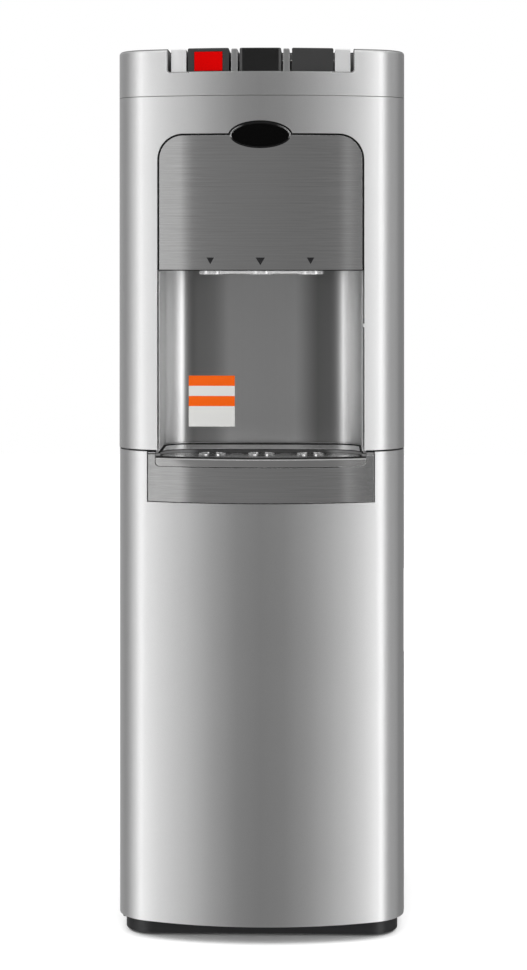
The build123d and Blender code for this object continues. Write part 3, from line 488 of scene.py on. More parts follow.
@dataclass(frozen=True)
class LedgePaint(MetallicPaint):
    """Silver paint on the ledge's top, with painted shade in the joint at the niche's foot, on the faces
    below the top and on the basin's walls.
    """

    top: float = 0.5724
    wall_top: float = 0.5714
    corner_x: float = 0.0819
    corner_y: float = -0.081
    joint_width: float = 0.0348
    joint_depth: float = 0.0245
    joint_end: float = 0.1205
    joint_top: float = 0.5736
    basin_front: float = -0.172
    wall_shade_colour: Colour = grey(0.055)
    wall_end_shade_colour: Colour = grey(0.22)
    end_start: float = 0.076
    end_fade: float = 0.012

    def surface(self, shader: Shader) -> Sockets:
        """Height picks the top face; an inset round outline picks the joint on it.

        Args:
            shader: the material's node tree.

        Returns:
            Socket name to value or wire.
        """
        place = shader.place()
        x = shader.part(place, "X").absolute()
        y = shader.part(place, "Y")
        z = shader.part(place, "Z")
        across = (x - self.corner_x).floor_at(0.0) / self.joint_width
        back = (y - self.corner_y).floor_at(0.0) / self.joint_depth
        # Painted shade in the joint along the niche's foot.
        joint = (across * across + back * back).above(1.0) * x.below(self.joint_end)
        joint = joint * z.above(self.top) * z.below(self.joint_top)
        # Painted shade below the top and on the basin's walls, lighter towards the ends.
        low = z.below(self.top)
        wall = z.below(self.wall_top) * y.above(self.basin_front)
        ends = x.remap(self.end_start, self.end_start + self.end_fade)
        colour = shader.blend(ends, rgba(self.wall_shade_colour), rgba(self.wall_end_shade_colour))
        sockets = self.with_painted_shade(shader, super().surface(shader), (low + joint).cap_at(1.0), PAINTED_SHADE_BLACK)
        sockets["Base Color"] = shader.blend(wall, sockets["Base Color"], colour)
        return sockets


@dataclass(frozen=True)
class BrushedSteel(Finish):
    """Stainless sheet with long fine scratches."""

    grain: Grain = Grain.ALONG_X
    contrast: float = 0.16
    relief: float = 0.012 * MM
    relief_strength: ClassVar[float] = 0.6
    fineness: ClassVar[float] = 2.7
    long_share: ClassVar[float] = 0.6
    fine_share: ClassVar[float] = 0.4
    fine_swing: ClassVar[float] = 0.10
    scratch_band: ClassVar[tuple[float, float]] = (0.34, 0.66)

    def surface(self, shader: Shader) -> Sockets:
        """Stretched noise makes scratches in colour, roughness and normal.

        Args:
            shader: the material's node tree.

        Returns:
            Socket name to value or wire.
        """
        finer = tuple(self.fineness * v for v in self.grain.value)
        scratch = shader.noise(shader.scaled(self.grain.value), 1.0, detail=4.0, rough=0.65)
        fine = shader.noise(shader.scaled(finer), 1.0, detail=3.0, rough=0.7)
        mask = (self.long_share * scratch + self.fine_share * fine).remap(*self.scratch_band)
        dark = scaled_colour(self.colour, 1.0 - self.contrast)
        light = scaled_colour(self.colour, 1.0 + self.contrast)
        colour = shader.blend(mask, dark, light)
        rough = self.roughness + self.fine_swing * fine.centred()
        normal = shader.bump(scratch, self.relief, self.relief_strength, shader.soft_edges(self.edge))
        return {"Base Color": colour, "Roughness": rough, "Normal": normal}


@dataclass(frozen=True)
class NicheSteel(BrushedSteel):
    """Satin steel with painted reflections and shade across the niche, and a polish that changes across the
    round corners.
    """

    reach: float = 0.12
    corner_start: float = 0.094
    corner_end: float = 0.101
    corner_rough: float = 0.03
    # Painted reflection and shade: tone by distance from the middle as a share of the reach, left side and
    # right side.
    left_painted_reflections: Ramp = (
        (0.34, 1.0), (0.38, 0.90), (0.42, 0.80), (0.50, 0.62), (0.54, 0.58), (0.58, 0.55), (0.66, 0.51),
        (0.71, 0.44), (0.75, 0.48), (0.79, 0.40), (0.83, 0.80), (0.87, 1.0), (0.94, 1.0), (0.975, 1.0))
    right_painted_reflections: Ramp = (
        (0.33, 1.0), (0.40, 0.83), (0.44, 0.70), (0.48, 0.59), (0.52, 0.49), (0.56, 0.40), (0.68, 0.44),
        (0.72, 0.48), (0.76, 0.54), (0.80, 0.64), (0.84, 0.74), (0.88, 1.0), (0.92, 1.0), (0.975, 0.84))

    def surface(self, shader: Shader) -> Sockets:
        """Place across the niche picks the painted tone and the roughness.

        Args:
            shader: the material's node tree.

        Returns:
            Socket name to value or wire.
        """
        sockets = super().surface(shader)
        x = shader.part(shader.place(), "X")
        stops = [(0.5 - 0.5 * a, tone) for a, tone in reversed(self.left_painted_reflections)]
        stops += [(0.5 + 0.5 * a, tone) for a, tone in self.right_painted_reflections]
        # Painted reflections and shade across the niche.
        tone = shader.node("ShaderNodeValToRGB", {"stops": stops}, {0: x / (2.0 * self.reach) + 0.5})
        sockets["Base Color"] = shader.tinted(sockets["Base Color"], tone)
        side = x.absolute().remap(self.corner_start, self.corner_end, 0.0, self.corner_rough)
        sockets["Roughness"] = sockets["Roughness"] + side
        return sockets


@dataclass(frozen=True)
class BezelSteel(BrushedSteel):
    """Chrome rim with painted highlights at its two shoulders and painted shade elsewhere."""

    highlight_shoulders: tuple[float, float] = (0.019, 0.031)
    foot: float = 0.9405
    foot_fade: float = 0.003
    painted_shade_level: float = 0.05

    def surface(self, shader: Shader) -> Sockets:
        """Distance from the middle and height pick the painted highlights at the shoulders.

        Args:
            shader: the material's node tree.

        Returns:
            Socket name to value or wire.
        """
        sockets = super().surface(shader)
        place = shader.place()
        # Painted highlights at the shoulders over a painted dark rim.
        bright = shader.part(place, "X").absolute().remap(*self.highlight_shoulders)
        bright = bright * shader.part(place, "Z").remap(self.foot, self.foot + self.foot_fade)
        sockets["Base Color"] = shader.blend(bright, rgba(grey(self.painted_shade_level)), sockets["Base Color"])
        return sockets


@dataclass(frozen=True)
class ShadowLinedSteel(BrushedSteel):
    """Brushed panel with a painted shadow line along its bottom."""

    shadow_line_top: float = 0.7878
    painted_shade_colour: Colour = grey(0.010)

    def surface(self, shader: Shader) -> Sockets:
        """Height picks the painted shadow line."""
        # Painted shadow along the panel's bottom edge.
        shadow_line = shader.part(shader.place(), "Z").below(self.shadow_line_top)
        return self.with_painted_shade(shader, super().surface(shader), shadow_line, self.painted_shade_colour)


@dataclass(frozen=True)
class TraySteel(BrushedSteel):
    """Brushed tray whose rim gets painted shade under the grille's edge."""

    rim: tuple[float, float] = (0.5655, 0.5672)
    painted_shade_colour: Colour = grey(0.012)

    def surface(self, shader: Shader) -> Sockets:
        """Height picks the rim, where painted shade darkens upwards."""
        # Painted shade on the rim under the grille.
        high = shader.part(shader.place(), "Z").remap(*self.rim)
        return self.with_painted_shade(shader, super().surface(shader), high, self.painted_shade_colour)


@dataclass(frozen=True)
class GrilleSteel(BrushedSteel):
    """Dark polished grille with painted highlights at both ends, and rings with painted highlights at their
    sides and painted shade between.
    """

    ring_y: float = -0.134
    ring_step: float = 0.058
    ring_radii: tuple[float, float] = (0.0122, 0.0163)
    ring_highlight_band: tuple[float, float] = (0.003, 0.008)
    ring_levels: tuple[float, float] = (0.12, 0.96)
    rings_end: float = 0.076
    end_fade: float = 0.008
    end_highlight_tone: float = 0.85

    def surface(self, shader: Shader) -> Sockets:
        """Distance from the nearest ring's centre picks the rings, where highlights and shade are painted.

        Args:
            shader: the material's node tree.

        Returns:
            Socket name to value or wire.
        """
        sockets = super().surface(shader)
        place = shader.place()
        x = shader.part(place, "X").absolute()
        y = shader.part(place, "Y") - self.ring_y
        near = x.folded(self.ring_step / 2.0)
        distance = (near * near + y * y).root()
        inner, outer = self.ring_radii
        ring = distance.above(inner) * distance.below(outer) * x.below(self.rings_end)
        # Painted shade on the rings' near and far sides, painted highlights at their left and right sides.
        dim, bright = (rgba(grey(level)) for level in self.ring_levels)
        painted_ring_highlight = shader.blend(near.remap(*self.ring_highlight_band), dim, bright)
        # Painted highlights towards both ends.
        ends = x.remap(self.rings_end, self.rings_end + self.end_fade)
        plate = shader.blend(ends, sockets["Base Color"], rgba(grey(self.end_highlight_tone)))
        sockets["Base Color"] = shader.blend(ring, plate, painted_ring_highlight)
        return sockets


@dataclass(frozen=True)
class Moulded(Finish):
    """Injection moulded plastic with a fine spark texture."""

    grain_size: float = 0.6 * MM
    depth: float = 0.03 * MM
    coat: float = 0.0
    pebble_strength: ClassVar[float] = 0.5
    cloud_tones: ClassVar[tuple[float, float]] = (0.88, 1.12)
    cloud_scale: ClassVar[float] = 30.0
    cloud_swing: ClassVar[float] = 0.08

    def surface(self, shader: Shader) -> Sockets:
        """A fine pebble in the normal, and a slight cloud in colour and roughness.

        Args:
            shader: the material's node tree.

        Returns:
            Socket name to value or wire.
        """
        pebble = shader.noise(shader.place(), 1.0 / self.grain_size, detail=2.0)
        cloud = shader.noise(shader.place(), self.cloud_scale, detail=3.0)
        dark, light = (scaled_colour(self.colour, tone) for tone in self.cloud_tones)
        colour = shader.blend(cloud, dark, light)
        rough = self.roughness + self.cloud_swing * cloud.centred()
        normal = shader.bump(pebble, self.depth, self.pebble_strength, shader.soft_edges(self.edge))
        return {"Base Color": colour, "Roughness": rough, "Coat Weight": self.coat, "Normal": normal}


@dataclass(frozen=True)
class ButtonPlastic(Moulded):
    """Button plastic, lighter in strips along both sides."""

    plain_half: float = 0.0213
    strip_colour: Colour = grey(0.055)

    def surface(self, shader: Shader) -> Sockets:
        """Distance from the middle, where the black button is, picks the strips.

        Args:
            shader: the material's node tree.

        Returns:
            Socket name to value or wire.
        """
        sockets = super().surface(shader)
        strip = shader.part(shader.place(), "X").absolute().above(self.plain_half)
        sockets["Base Color"] = shader.blend(strip, sockets["Base Color"], rgba(self.strip_colour))
        return sockets


@dataclass(frozen=True)
class SheetMetal(Finish):
    """Coated or zinc-plated sheet with a faint mottled bloom."""

    bloom: float = 0.12
    bloom_size: float = 9.0 * MM
    bloom_swing: ClassVar[float] = 0.10
    dust_scale: ClassVar[float] = 260.0
    dust_height: ClassVar[float] = 0.02 * MM
    dust_strength: ClassVar[float] = 0.3
    dust_swing: ClassVar[float] = 0.05

    def surface(self, shader: Shader) -> Sockets:
        """Cells of slightly different brightness and roughness.

        Args:
            shader: the material's node tree.

        Returns:
            Socket name to value or wire.
        """
        cells = shader.node("ShaderNodeTexVoronoi", {"feature": "F1"},
                            {"Vector": shader.place(), "Scale": 1.0 / self.bloom_size}, "Color")
        level = shader.part(cells, "X")
        dust = shader.noise(shader.place(), self.dust_scale, detail=3.0)
        dark = scaled_colour(self.colour, 1.0 - self.bloom)
        light = scaled_colour(self.colour, 1.0 + self.bloom)
        colour = shader.blend(level, dark, light)
        rough = self.roughness + self.bloom_swing * level.centred() + self.dust_swing * dust.centred()
        normal = shader.bump(dust, self.dust_height, self.dust_strength, shader.soft_edges(self.edge))
        return {"Base Color": colour, "Roughness": rough, "Normal": normal}


@dataclass(frozen=True)
class BareLabel(Finish):
    """Label film in bands of two colours, with nothing printed on it."""

    band: Colour = (0.80, 0.80, 0.78)
    edges: tuple[float, float, float] = (0.619, 0.6315, 0.6438)
    fibre_tone: ClassVar[float] = 0.96
    fibre_scale: ClassVar[float] = 900.0
    fibre_swing: ClassVar[float] = 0.08

    def surface(self, shader: Shader) -> Sockets:
        """Height picks the band; a fine film grain varies the roughness.

        Args:
            shader: the material's node tree.

        Returns:
            Socket name to value or wire.
        """
        height = shader.part(shader.place(), "Z")
        low, middle, high = self.edges
        coloured = height.above(low) * height.below(middle) + height.above(high)
        fibre = shader.noise(shader.place(), self.fibre_scale, detail=2.0)
        tint, paper = (shader.blend(fibre, scaled_colour(colour, self.fibre_tone), rgba(colour))
                       for colour in (self.colour, self.band))
        return {"Base Color": shader.blend(coloured, paper, tint),
                "Roughness": self.roughness + self.fibre_swing * fibre.centred()}


PAINT_WHITE = grey(0.97)
SHEET_STEEL = (0.94, 0.935, 0.93)

# Name, colour, roughness, metallic share and edge radius come first in each line.
SILVER = MetallicPaint("silver_paint", PAINT_WHITE, 0.41, 0.97, 0.6 * MM)
HOUSING_SILVER = GroovedPaint("silver_housing_paint", PAINT_WHITE, 0.41, 0.97, 0.6 * MM)
LID_SILVER = NotchedPaint("silver_lid_paint", PAINT_WHITE, 0.41, 0.97, 0.6 * MM)
LEDGE_SILVER = LedgePaint("silver_ledge_paint", PAINT_WHITE, 0.36, 0.97, 0.8 * MM)
TRIM_SILVER = TrimPaint("silver_trim_paint", grey(0.98), 0.34, 0.94, 0.9 * MM)
CASE_SILVER = MetallicPaint("silver_sheet_paint", grey(0.86), 0.44, 0.90, 0.4 * MM)
FRONT_STEEL = BrushedSteel("brushed_front_steel", SHEET_STEEL, 0.10, 1.0, 0.35 * MM)
PANEL_STEEL = ShadowLinedSteel("brushed_panel_steel", SHEET_STEEL, 0.10, 1.0, 0.35 * MM)
NICHE_STEEL = NicheSteel("satin_niche_steel", grey(1.0), 0.34, 1.0, 0.4 * MM, grain=Grain.ALONG_Z,
                         contrast=0.03, relief=0.001 * MM)
TRAY_STEEL = TraySteel("tray_steel", SHEET_STEEL, 0.14, 1.0, 0.5 * MM, contrast=0.05, relief=0.003 * MM)
GRILLE_STEEL = GrilleSteel("grille_steel", grey(0.36), 0.16, 1.0, 0.8 * MM, contrast=0.03,
                           relief=0.002 * MM)
BRIGHT = BrushedSteel("bright_chrome", grey(0.80), 0.08, 1.0, 0.5 * MM, contrast=0.02, relief=0.001 * MM)
BEZEL = BezelSteel("bezel_chrome", grey(0.95), 0.22, 1.0, 0.8 * MM, contrast=0.02, relief=0.001 * MM)
STAINLESS = BrushedSteel("rolled_stainless", grey(0.60), 0.30, 1.0, 0.4 * MM, grain=Grain.ALONG_Z,
                         contrast=0.08)
NOZZLE_TRIM = Moulded("pearl_nozzle_trim", grey(0.95), 0.22, 0.35, 1.2 * MM, grain_size=1.0 * MM,
                      depth=0.002 * MM, coat=0.4)
BADGE_BLACK = Moulded("badge_black", grey(0.001), 0.20, 0.0, 0.4 * MM, specular=0.12, grain_size=2.0 * MM,
                      depth=0.003 * MM)
BUTTON_BLACK = ButtonPlastic("button_black", grey(0.008), 0.34, 0.0, 0.8 * MM, specular=0.4,
                             depth=0.02 * MM)
BUTTON_GREY = Moulded("button_grey", grey(0.030), 0.36, 0.0, 0.8 * MM, specular=0.4)
CATCH_RED = Moulded("catch_red", (0.50, 0.0, 0.0), 0.45, 0.0, 0.6 * MM, specular=0.05, grain_size=1.5 * MM,
                    depth=0.01 * MM)
LENS = Moulded("smoked_lens", (0.010, 0.010, 0.011), 0.15, 0.0, 0.2 * MM, grain_size=2.0 * MM,
               depth=0.005 * MM, coat=0.5)
BLACK_PLASTIC = Moulded("black_plastic", (0.018, 0.018, 0.019), 0.42, 0.0, 0.8 * MM)
WHITE_PLASTIC = Moulded("liner_white", (0.74, 0.74, 0.73), 0.42, 0.0, 0.8 * MM)
RUBBER = Moulded("rubber", grey(0.022), 0.75, 0.0, 0.6 * MM, specular=0.3, grain_size=0.5 * MM,
                 depth=0.05 * MM)
FOAM = Moulded("tank_foam", (0.78, 0.74, 0.60), 0.85, 0.0, 1.0 * MM, specular=0.3, grain_size=2.5 * MM,
               depth=0.4 * MM)
SILICONE = Moulded("silicone_hose", (0.80, 0.81, 0.82), 0.35, 0.0, 0.3 * MM, grain_size=3.0 * MM,
                   depth=0.02 * MM, coat=0.3)
GREY_SILICONE = Moulded("grey_silicone_hose", (0.30, 0.31, 0.32), 0.45, 0.0, 0.3 * MM, specular=0.4,
                        grain_size=3.0 * MM, depth=0.02 * MM)
FERRITE = Moulded("ferrite", (0.06, 0.045, 0.035), 0.6, 0.0, 0.3 * MM)
ZINC = SheetMetal("zinc_sheet", (0.52, 0.52, 0.53), 0.38, 0.9, 0.3 * MM)
GREY_SHEET = SheetMetal("grey_sheet", (0.34, 0.34, 0.35), 0.48, 0.35, 0.3 * MM, bloom=0.05)
BLACK_STEEL = SheetMetal("black_enamel", (0.016, 0.016, 0.017), 0.40, 0.2, 0.4 * MM, bloom=0.08)
LABEL = BareLabel("label_film", (0.98, 0.135, 0.006), 0.45, 0.0, 0.1 * MM, specular=0.15)


# ------------------------------------------------------------------ mesh helpers


WELD_DISTANCE = 0.005 * MM
SHARP_ANGLE = math.radians(24.0)


def smoothing_tree() -> bpy.types.NodeTree:
    """Geometry Nodes that weld loose triangles and shade gentle bends smooth.

    Returns:
        The node group, with inputs for the weld distance and the sharp angle.
    """
    name = "weld_and_smooth"
    found = bpy.data.node_groups.get(name)
    if found is not None:
        return found
    tree = bpy.data.node_groups.new(name, "GeometryNodeTree")
    face = tree.interface
    face.new_socket("Geometry", in_out="INPUT", socket_type="NodeSocketGeometry")
    weld = face.new_socket("Weld distance", in_out="INPUT", socket_type="NodeSocketFloat")
    weld.default_value = WELD_DISTANCE
    sharp = face.new_socket("Sharp angle", in_out="INPUT", socket_type="NodeSocketFloat")
    sharp.default_value = SHARP_ANGLE
    face.new_socket("Geometry", in_out="OUTPUT", socket_type="NodeSocketGeometry")
    nodes = tree.nodes
    entry = nodes.new("NodeGroupInput")
    leave = nodes.new("NodeGroupOutput")
    merge = nodes.new("GeometryNodeMergeByDistance")
    angle = nodes.new("GeometryNodeInputMeshEdgeAngle")
    over = nodes.new("FunctionNodeCompare")
    over.data_type = "FLOAT"
    over.operation = "GREATER_THAN"
    faces = nodes.new("GeometryNodeSetShadeSmooth")
    edges = nodes.new("GeometryNodeSetShadeSmooth")
    edges.domain = "EDGE"
    link = tree.links.new
    link(entry.outputs[0], merge.inputs["Geometry"])
    link(entry.outputs[1], merge.inputs["Distance"])
    link(merge.outputs[0], faces.inputs["Geometry"])
    link(faces.outputs[0], edges.inputs["Geometry"])
    link(angle.outputs["Unsigned Angle"], over.inputs[0])
    link(entry.outputs[2], over.inputs[1])
    link(over.outputs[0], edges.inputs["Selection"])
    edges.inputs["Shade Smooth"].default_value = False
    link(edges.outputs[0], leave.inputs[0])
    return tree


def smooth(obj: bpy.types.Object) -> None:
    """Welds and smooths a CAD node without touching its own mesh."""
    modifier = obj.modifiers.new("weld_and_smooth", "NODES")
    modifier.node_group = smoothing_tree()


def dress(obj: bpy.types.Object, finish: Finish) -> None:
    """Gives an object one finish in every slot.

    Args:
        obj: the object.
        finish: its finish.
    """
    material = finish.material()
    if not obj.material_slots:
        obj.data.materials.append(material)
    for slot in obj.material_slots:
        slot.material = material


class Recipe:
    """A Geometry Nodes group that repeats a small form on points, with a named input for each size."""

    def __init__(self, name: str, sizes: dict[str, float]) -> None:
        """Starts the group.

        Args:
            name: the group's name.
            sizes: name and value of each size input.
        """
        self.tree = bpy.data.node_groups.new(name, "GeometryNodeTree")
        self.sizes = sizes
        face = self.tree.interface
        face.new_socket("Geometry", in_out="INPUT", socket_type="NodeSocketGeometry")
        self.keys = {size: face.new_socket(size, in_out="INPUT", socket_type="NodeSocketFloat").identifier
                     for size in sizes}
        face.new_socket("Geometry", in_out="OUTPUT", socket_type="NodeSocketGeometry")
        self.entry = self.tree.nodes.new("NodeGroupInput")

    def node(self, kind: str, inputs: dict[str, object]) -> bpy.types.NodeSocket:
        """Adds one node.

        Args:
            kind: the node's type name.
            inputs: socket name to a value, a socket, or the name of a size input in "<>".

        Returns:
            The node's first output.
        """
        made = self.tree.nodes.new(kind)
        for key, value in inputs.items():
            for each in value if isinstance(value, list) else [value]:
                if isinstance(each, str):
                    each = self.entry.outputs[each.strip("<>")]
                if isinstance(each, bpy.types.NodeSocket):
                    self.tree.links.new(each, made.inputs[key])
                else:
                    made.inputs[key].default_value = each
        return made.outputs[0]

    def repeat(self, form: bpy.types.NodeSocket, finish: Finish) -> None:
        """Ends the group: the form on every point, as real geometry with its material.

        Args:
            form: the form's geometry.
            finish: its finish.
        """
        spread = self.node("GeometryNodeInstanceOnPoints", {
            "Points": self.entry.outputs[0], "Instance": form})
        real = self.node("GeometryNodeRealizeInstances", {"Geometry": spread})
        done = self.node("GeometryNodeSetMaterial", {"Geometry": real, "Material": finish.material()})
        self.tree.links.new(done, self.tree.nodes.new("NodeGroupOutput").inputs[0])

    def piece(self, name: str, points: Sequence[Sequence[float]], body: str, slot: str) -> bpy.types.Object:
        """Runs the group once and seats the plain mesh on a body.

        Args:
            name: the piece's name.
            points: where the form is repeated.
            body: the body it rides on.
            slot: not used.

        Returns:
            The new object.
        """
        mesh = bpy.data.meshes.new(name)
        mesh.from_pydata([tuple(p) for p in points], [], [])
        obj = bpy.data.objects.new(name, mesh)
        bpy.context.scene.collection.objects.link(obj)
        modifier = obj.modifiers.new(name, "NODES")
        modifier.node_group = self.tree
        for size, value in self.sizes.items():
            modifier[self.keys[size]] = value
        plain = bpy.data.meshes.new_from_object(obj.evaluated_get(bpy.context.evaluated_depsgraph_get()))
        obj.modifiers.clear()
        obj.data = plain
        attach(obj, body)
        LOG.info("piece %s on %s, %d faces", name, body, len(plain.polygons))
        return obj


class CoilRecipe(Recipe):
    """Winds a wire into a coil spring."""

    TURN_STEPS = 32
    WIRE_SIDES = 10

    def __init__(self, finish: Finish) -> None:
        """Builds the group.

        Args:
            finish: the wire's finish.
        """
        super().__init__("coil_spring", {"Turns": 7.0, "Coil radius": 4.0 * MM, "Wire radius": 0.6 * MM,
                                         "Free length": 32.6 * MM})
        coil = self.node("GeometryNodeCurveSpiral", {
            "Resolution": self.TURN_STEPS, "Rotations": "<Turns>", "Start Radius": "<Coil radius>",
            "End Radius": "<Coil radius>", "Height": "<Free length>"})
        section = self.node("GeometryNodeCurvePrimitiveCircle", {
            "Resolution": self.WIRE_SIDES, "Radius": "<Wire radius>"})
        wire = self.node("GeometryNodeCurveToMesh", {
            "Curve": coil, "Profile Curve": section, "Fill Caps": True})
        self.repeat(self.node("GeometryNodeSetShadeSmooth", {"Geometry": wire}), finish)


class CrossRecipe(Recipe):
    """Crossed slots in the heads of screws that face the rear."""

    def __init__(self, finish: Finish) -> None:
        """Builds the group.

        Args:
            finish: the slots' finish.
        """
        super().__init__("screw_cross", {
            "Slot length": 4.4 * MM, "Slot width": 0.9 * MM, "Slot relief": 0.2 * MM})
        flat = self.node("ShaderNodeCombineXYZ", {
            "X": "<Slot length>", "Y": "<Slot relief>", "Z": "<Slot width>"})
        tall = self.node("ShaderNodeCombineXYZ", {
            "X": "<Slot width>", "Y": "<Slot relief>", "Z": "<Slot length>"})
        bars = [self.node("GeometryNodeMeshCube", {"Size": size}) for size in (flat, tall)]
        self.repeat(self.node("GeometryNodeJoinGeometry", {"Geometry": bars}), finish)


# ------------------------------------------------------------------ sub-assemblies


@dataclass
class SubAssembly:
    """CAD nodes that keep their shape and get a finish each."""

    finishes: dict[str, Finish] = field(default_factory=dict)

    def build(self, nodes: dict[str, bpy.types.Object]) -> None:
        """Dresses the nodes, then adds the sub-assembly's own pieces.

        Args:
            nodes: CAD node name to object.
        """
        for name, finish in self.finishes.items():
            smooth(nodes[name])
            dress(nodes[name], finish)
            LOG.info("node %s in %s", name, finish.name)
        self.add_pieces(nodes)

    def add_pieces(self, nodes: dict[str, bpy.types.Object]) -> None:
        """Adds what the CAD nodes don't show; plain sub-assemblies add nothing."""


@dataclass
class Cabinet(SubAssembly):
    """Base, feet, side sheets, frame and shelf."""

    finishes: dict[str, Finish] = field(default_factory=lambda: {
        "base_tray": BLACK_PLASTIC, "rubber_feet": RUBBER, "left_side_panel": CASE_SILVER,
        "right_side_panel": CASE_SILVER, "front_frame": GREY_SHEET, "mid_shelf": ZINC,
        "side_grip": BLACK_PLASTIC, "tank_carrier": ZINC, "door_hinge_brackets": ZINC,
        "door_magnet": FERRITE})


@dataclass
class UpperFront(SubAssembly):
    """Housing, steel panel, badge and lenses."""

    finishes: dict[str, Finish] = field(default_factory=lambda: {
        "upper_front_housing": HOUSING_SILVER, "front_panel": PANEL_STEEL, "badge_bezel": BEZEL,
        "badge_face": BADGE_BLACK, "indicator_lenses": LENS})


@dataclass
class Niche(SubAssembly):
    """Liner, label, spouts and their bright strip."""

    finishes: dict[str, Finish] = field(default_factory=lambda: {
        "niche_liner": NICHE_STEEL, "blank_label": LABEL, "nozzle_shroud": NOZZLE_TRIM, "spouts": BRIGHT})

    def add_pieces(self, nodes: dict[str, bpy.types.Object]) -> None:
        """Keeps the label out of the satin walls, whose grain is too coarse to mirror it."""
        nodes["blank_label"].visible_glossy = False


@dataclass
class ButtonBank(SubAssembly):
    """Lid, buttons and what carries them."""

    finishes: dict[str, Finish] = field(default_factory=lambda: {
        "top_cover": LID_SILVER, "console_base": BLACK_PLASTIC, "console_trim": TRIM_SILVER,
        "button_hinge_rod": STAINLESS, "hot_button": BUTTON_GREY, "room_button": BUTTON_BLACK,
        "cold_button": BUTTON_GREY, "hot_safety_catch": CATCH_RED, "hot_button_spring": STAINLESS,
        "room_button_spring": STAINLESS, "cold_button_spring": STAINLESS,
        "micro_switches": BLACK_PLASTIC})

    # Foot of the middle spring, the buttons' spacing, and the share of a spring's length that is left at
    # full press.
    spring_foot: tuple[float, float, float] = (0.0, -0.148, 1.0107)
    pitch: float = 0.061
    keep: float = 0.90

    def add_pieces(self, nodes: dict[str, bpy.types.Object]) -> None:
        """Adds coil springs at fixed feet in place of the CAD springs, which it hides.

        Args:
            nodes: not used.
        """
        coil = CoilRecipe(STAINLESS)
        x, y, z = self.spring_foot
        for name, step in (("hot", -1), ("room", 0), ("cold", 1)):
            foot = (x + step * self.pitch, y, z)
            spring = coil.piece(f"{name}_coil", [foot], "root", "spring_steel")
            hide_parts(f"{name}_button_spring")
            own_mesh(spring)


@dataclass
class TrayUnit(SubAssembly):
    """Ledge, fascia, tray and grille."""

    finishes: dict[str, Finish] = field(default_factory=lambda: {
        "tray_ledge": LEDGE_SILVER, "tray_fascia": FRONT_STEEL, "drip_tray": TRAY_STEEL,
        "drip_grille": GRILLE_STEEL})


@dataclass
class Door(SubAssembly):
    """Bowed skin, white inner pan and strike."""

    finishes: dict[str, Finish] = field(default_factory=lambda: {
        "door_skin": SILVER, "door_liner": WHITE_PLASTIC, "door_strike_plate": ZINC})


@dataclass
class WaterWorks(SubAssembly):
    """Probe, pump, hoses, tanks, compressor and controls."""

    finishes: dict[str, Finish] = field(default_factory=lambda: {
        "probe_holder": BLACK_PLASTIC, "dip_tube": STAINLESS, "probe_cap": WHITE_PLASTIC,
        "suction_hose": SILICONE, "water_pump": BLACK_PLASTIC, "water_hoses": GREY_SILICONE,
        "hot_tank": STAINLESS, "cold_tank": STAINLESS, "tank_insulation": FOAM,
        "compressor": BLACK_STEEL, "compressor_grommets": RUBBER, "control_box": GREY_SHEET})


@dataclass
class Rear(SubAssembly):
    """Covers, condenser, switches, drain and cord inlet."""

    finishes: dict[str, Finish] = field(default_factory=lambda: {
        "rear_cover_upper": GREY_SHEET, "rear_cover_lower": GREY_SHEET, "cover_screws": ZINC,
        "condenser": BLACK_STEEL, "condenser_brackets": BLACK_PLASTIC, "rear_fittings": BLACK_PLASTIC,
        "heating_switch": CATCH_RED, "cooling_switch": BUTTON_BLACK, "drain_cap": BLACK_PLASTIC})

    screw_x: float = 0.158
    screw_y: float = 0.1664
    screw_levels: tuple[float, ...] = (0.060, 0.300, 0.550, 0.600, 0.780, 0.970)

    def add_pieces(self, nodes: dict[str, bpy.types.Object]) -> None:
        """Crossed slots in the cover screws."""
        places = [(side * self.screw_x, self.screw_y, z) for side in (-1, 1) for z in self.screw_levels]
        CrossRecipe(BLACK_STEEL).piece("screw_crosses", places, "root", "black_steel")


# ------------------------------------------------------------------ studio


@dataclass(frozen=True)
class Lamp:
    """A square area lamp that polished surfaces don't show."""

    name: str
    place: tuple[float, float, float]
    target: tuple[float, float, float]
    size: float
    watts: float

    def build(self) -> None:
        """Makes the lamp and points it at its target."""
        data = bpy.data.lights.new(self.name, "AREA")
        data.shape = "SQUARE"
        data.size = self.size
        data.energy = self.watts
        lamp = bpy.data.objects.new(self.name, data)
        lamp.location = self.place
        aim = Vector(self.target) - lamp.location
        lamp.rotation_euler = aim.to_track_quat("-Z", "Y").to_euler()
        lamp.visible_glossy = False
        bpy.context.scene.collection.objects.link(lamp)


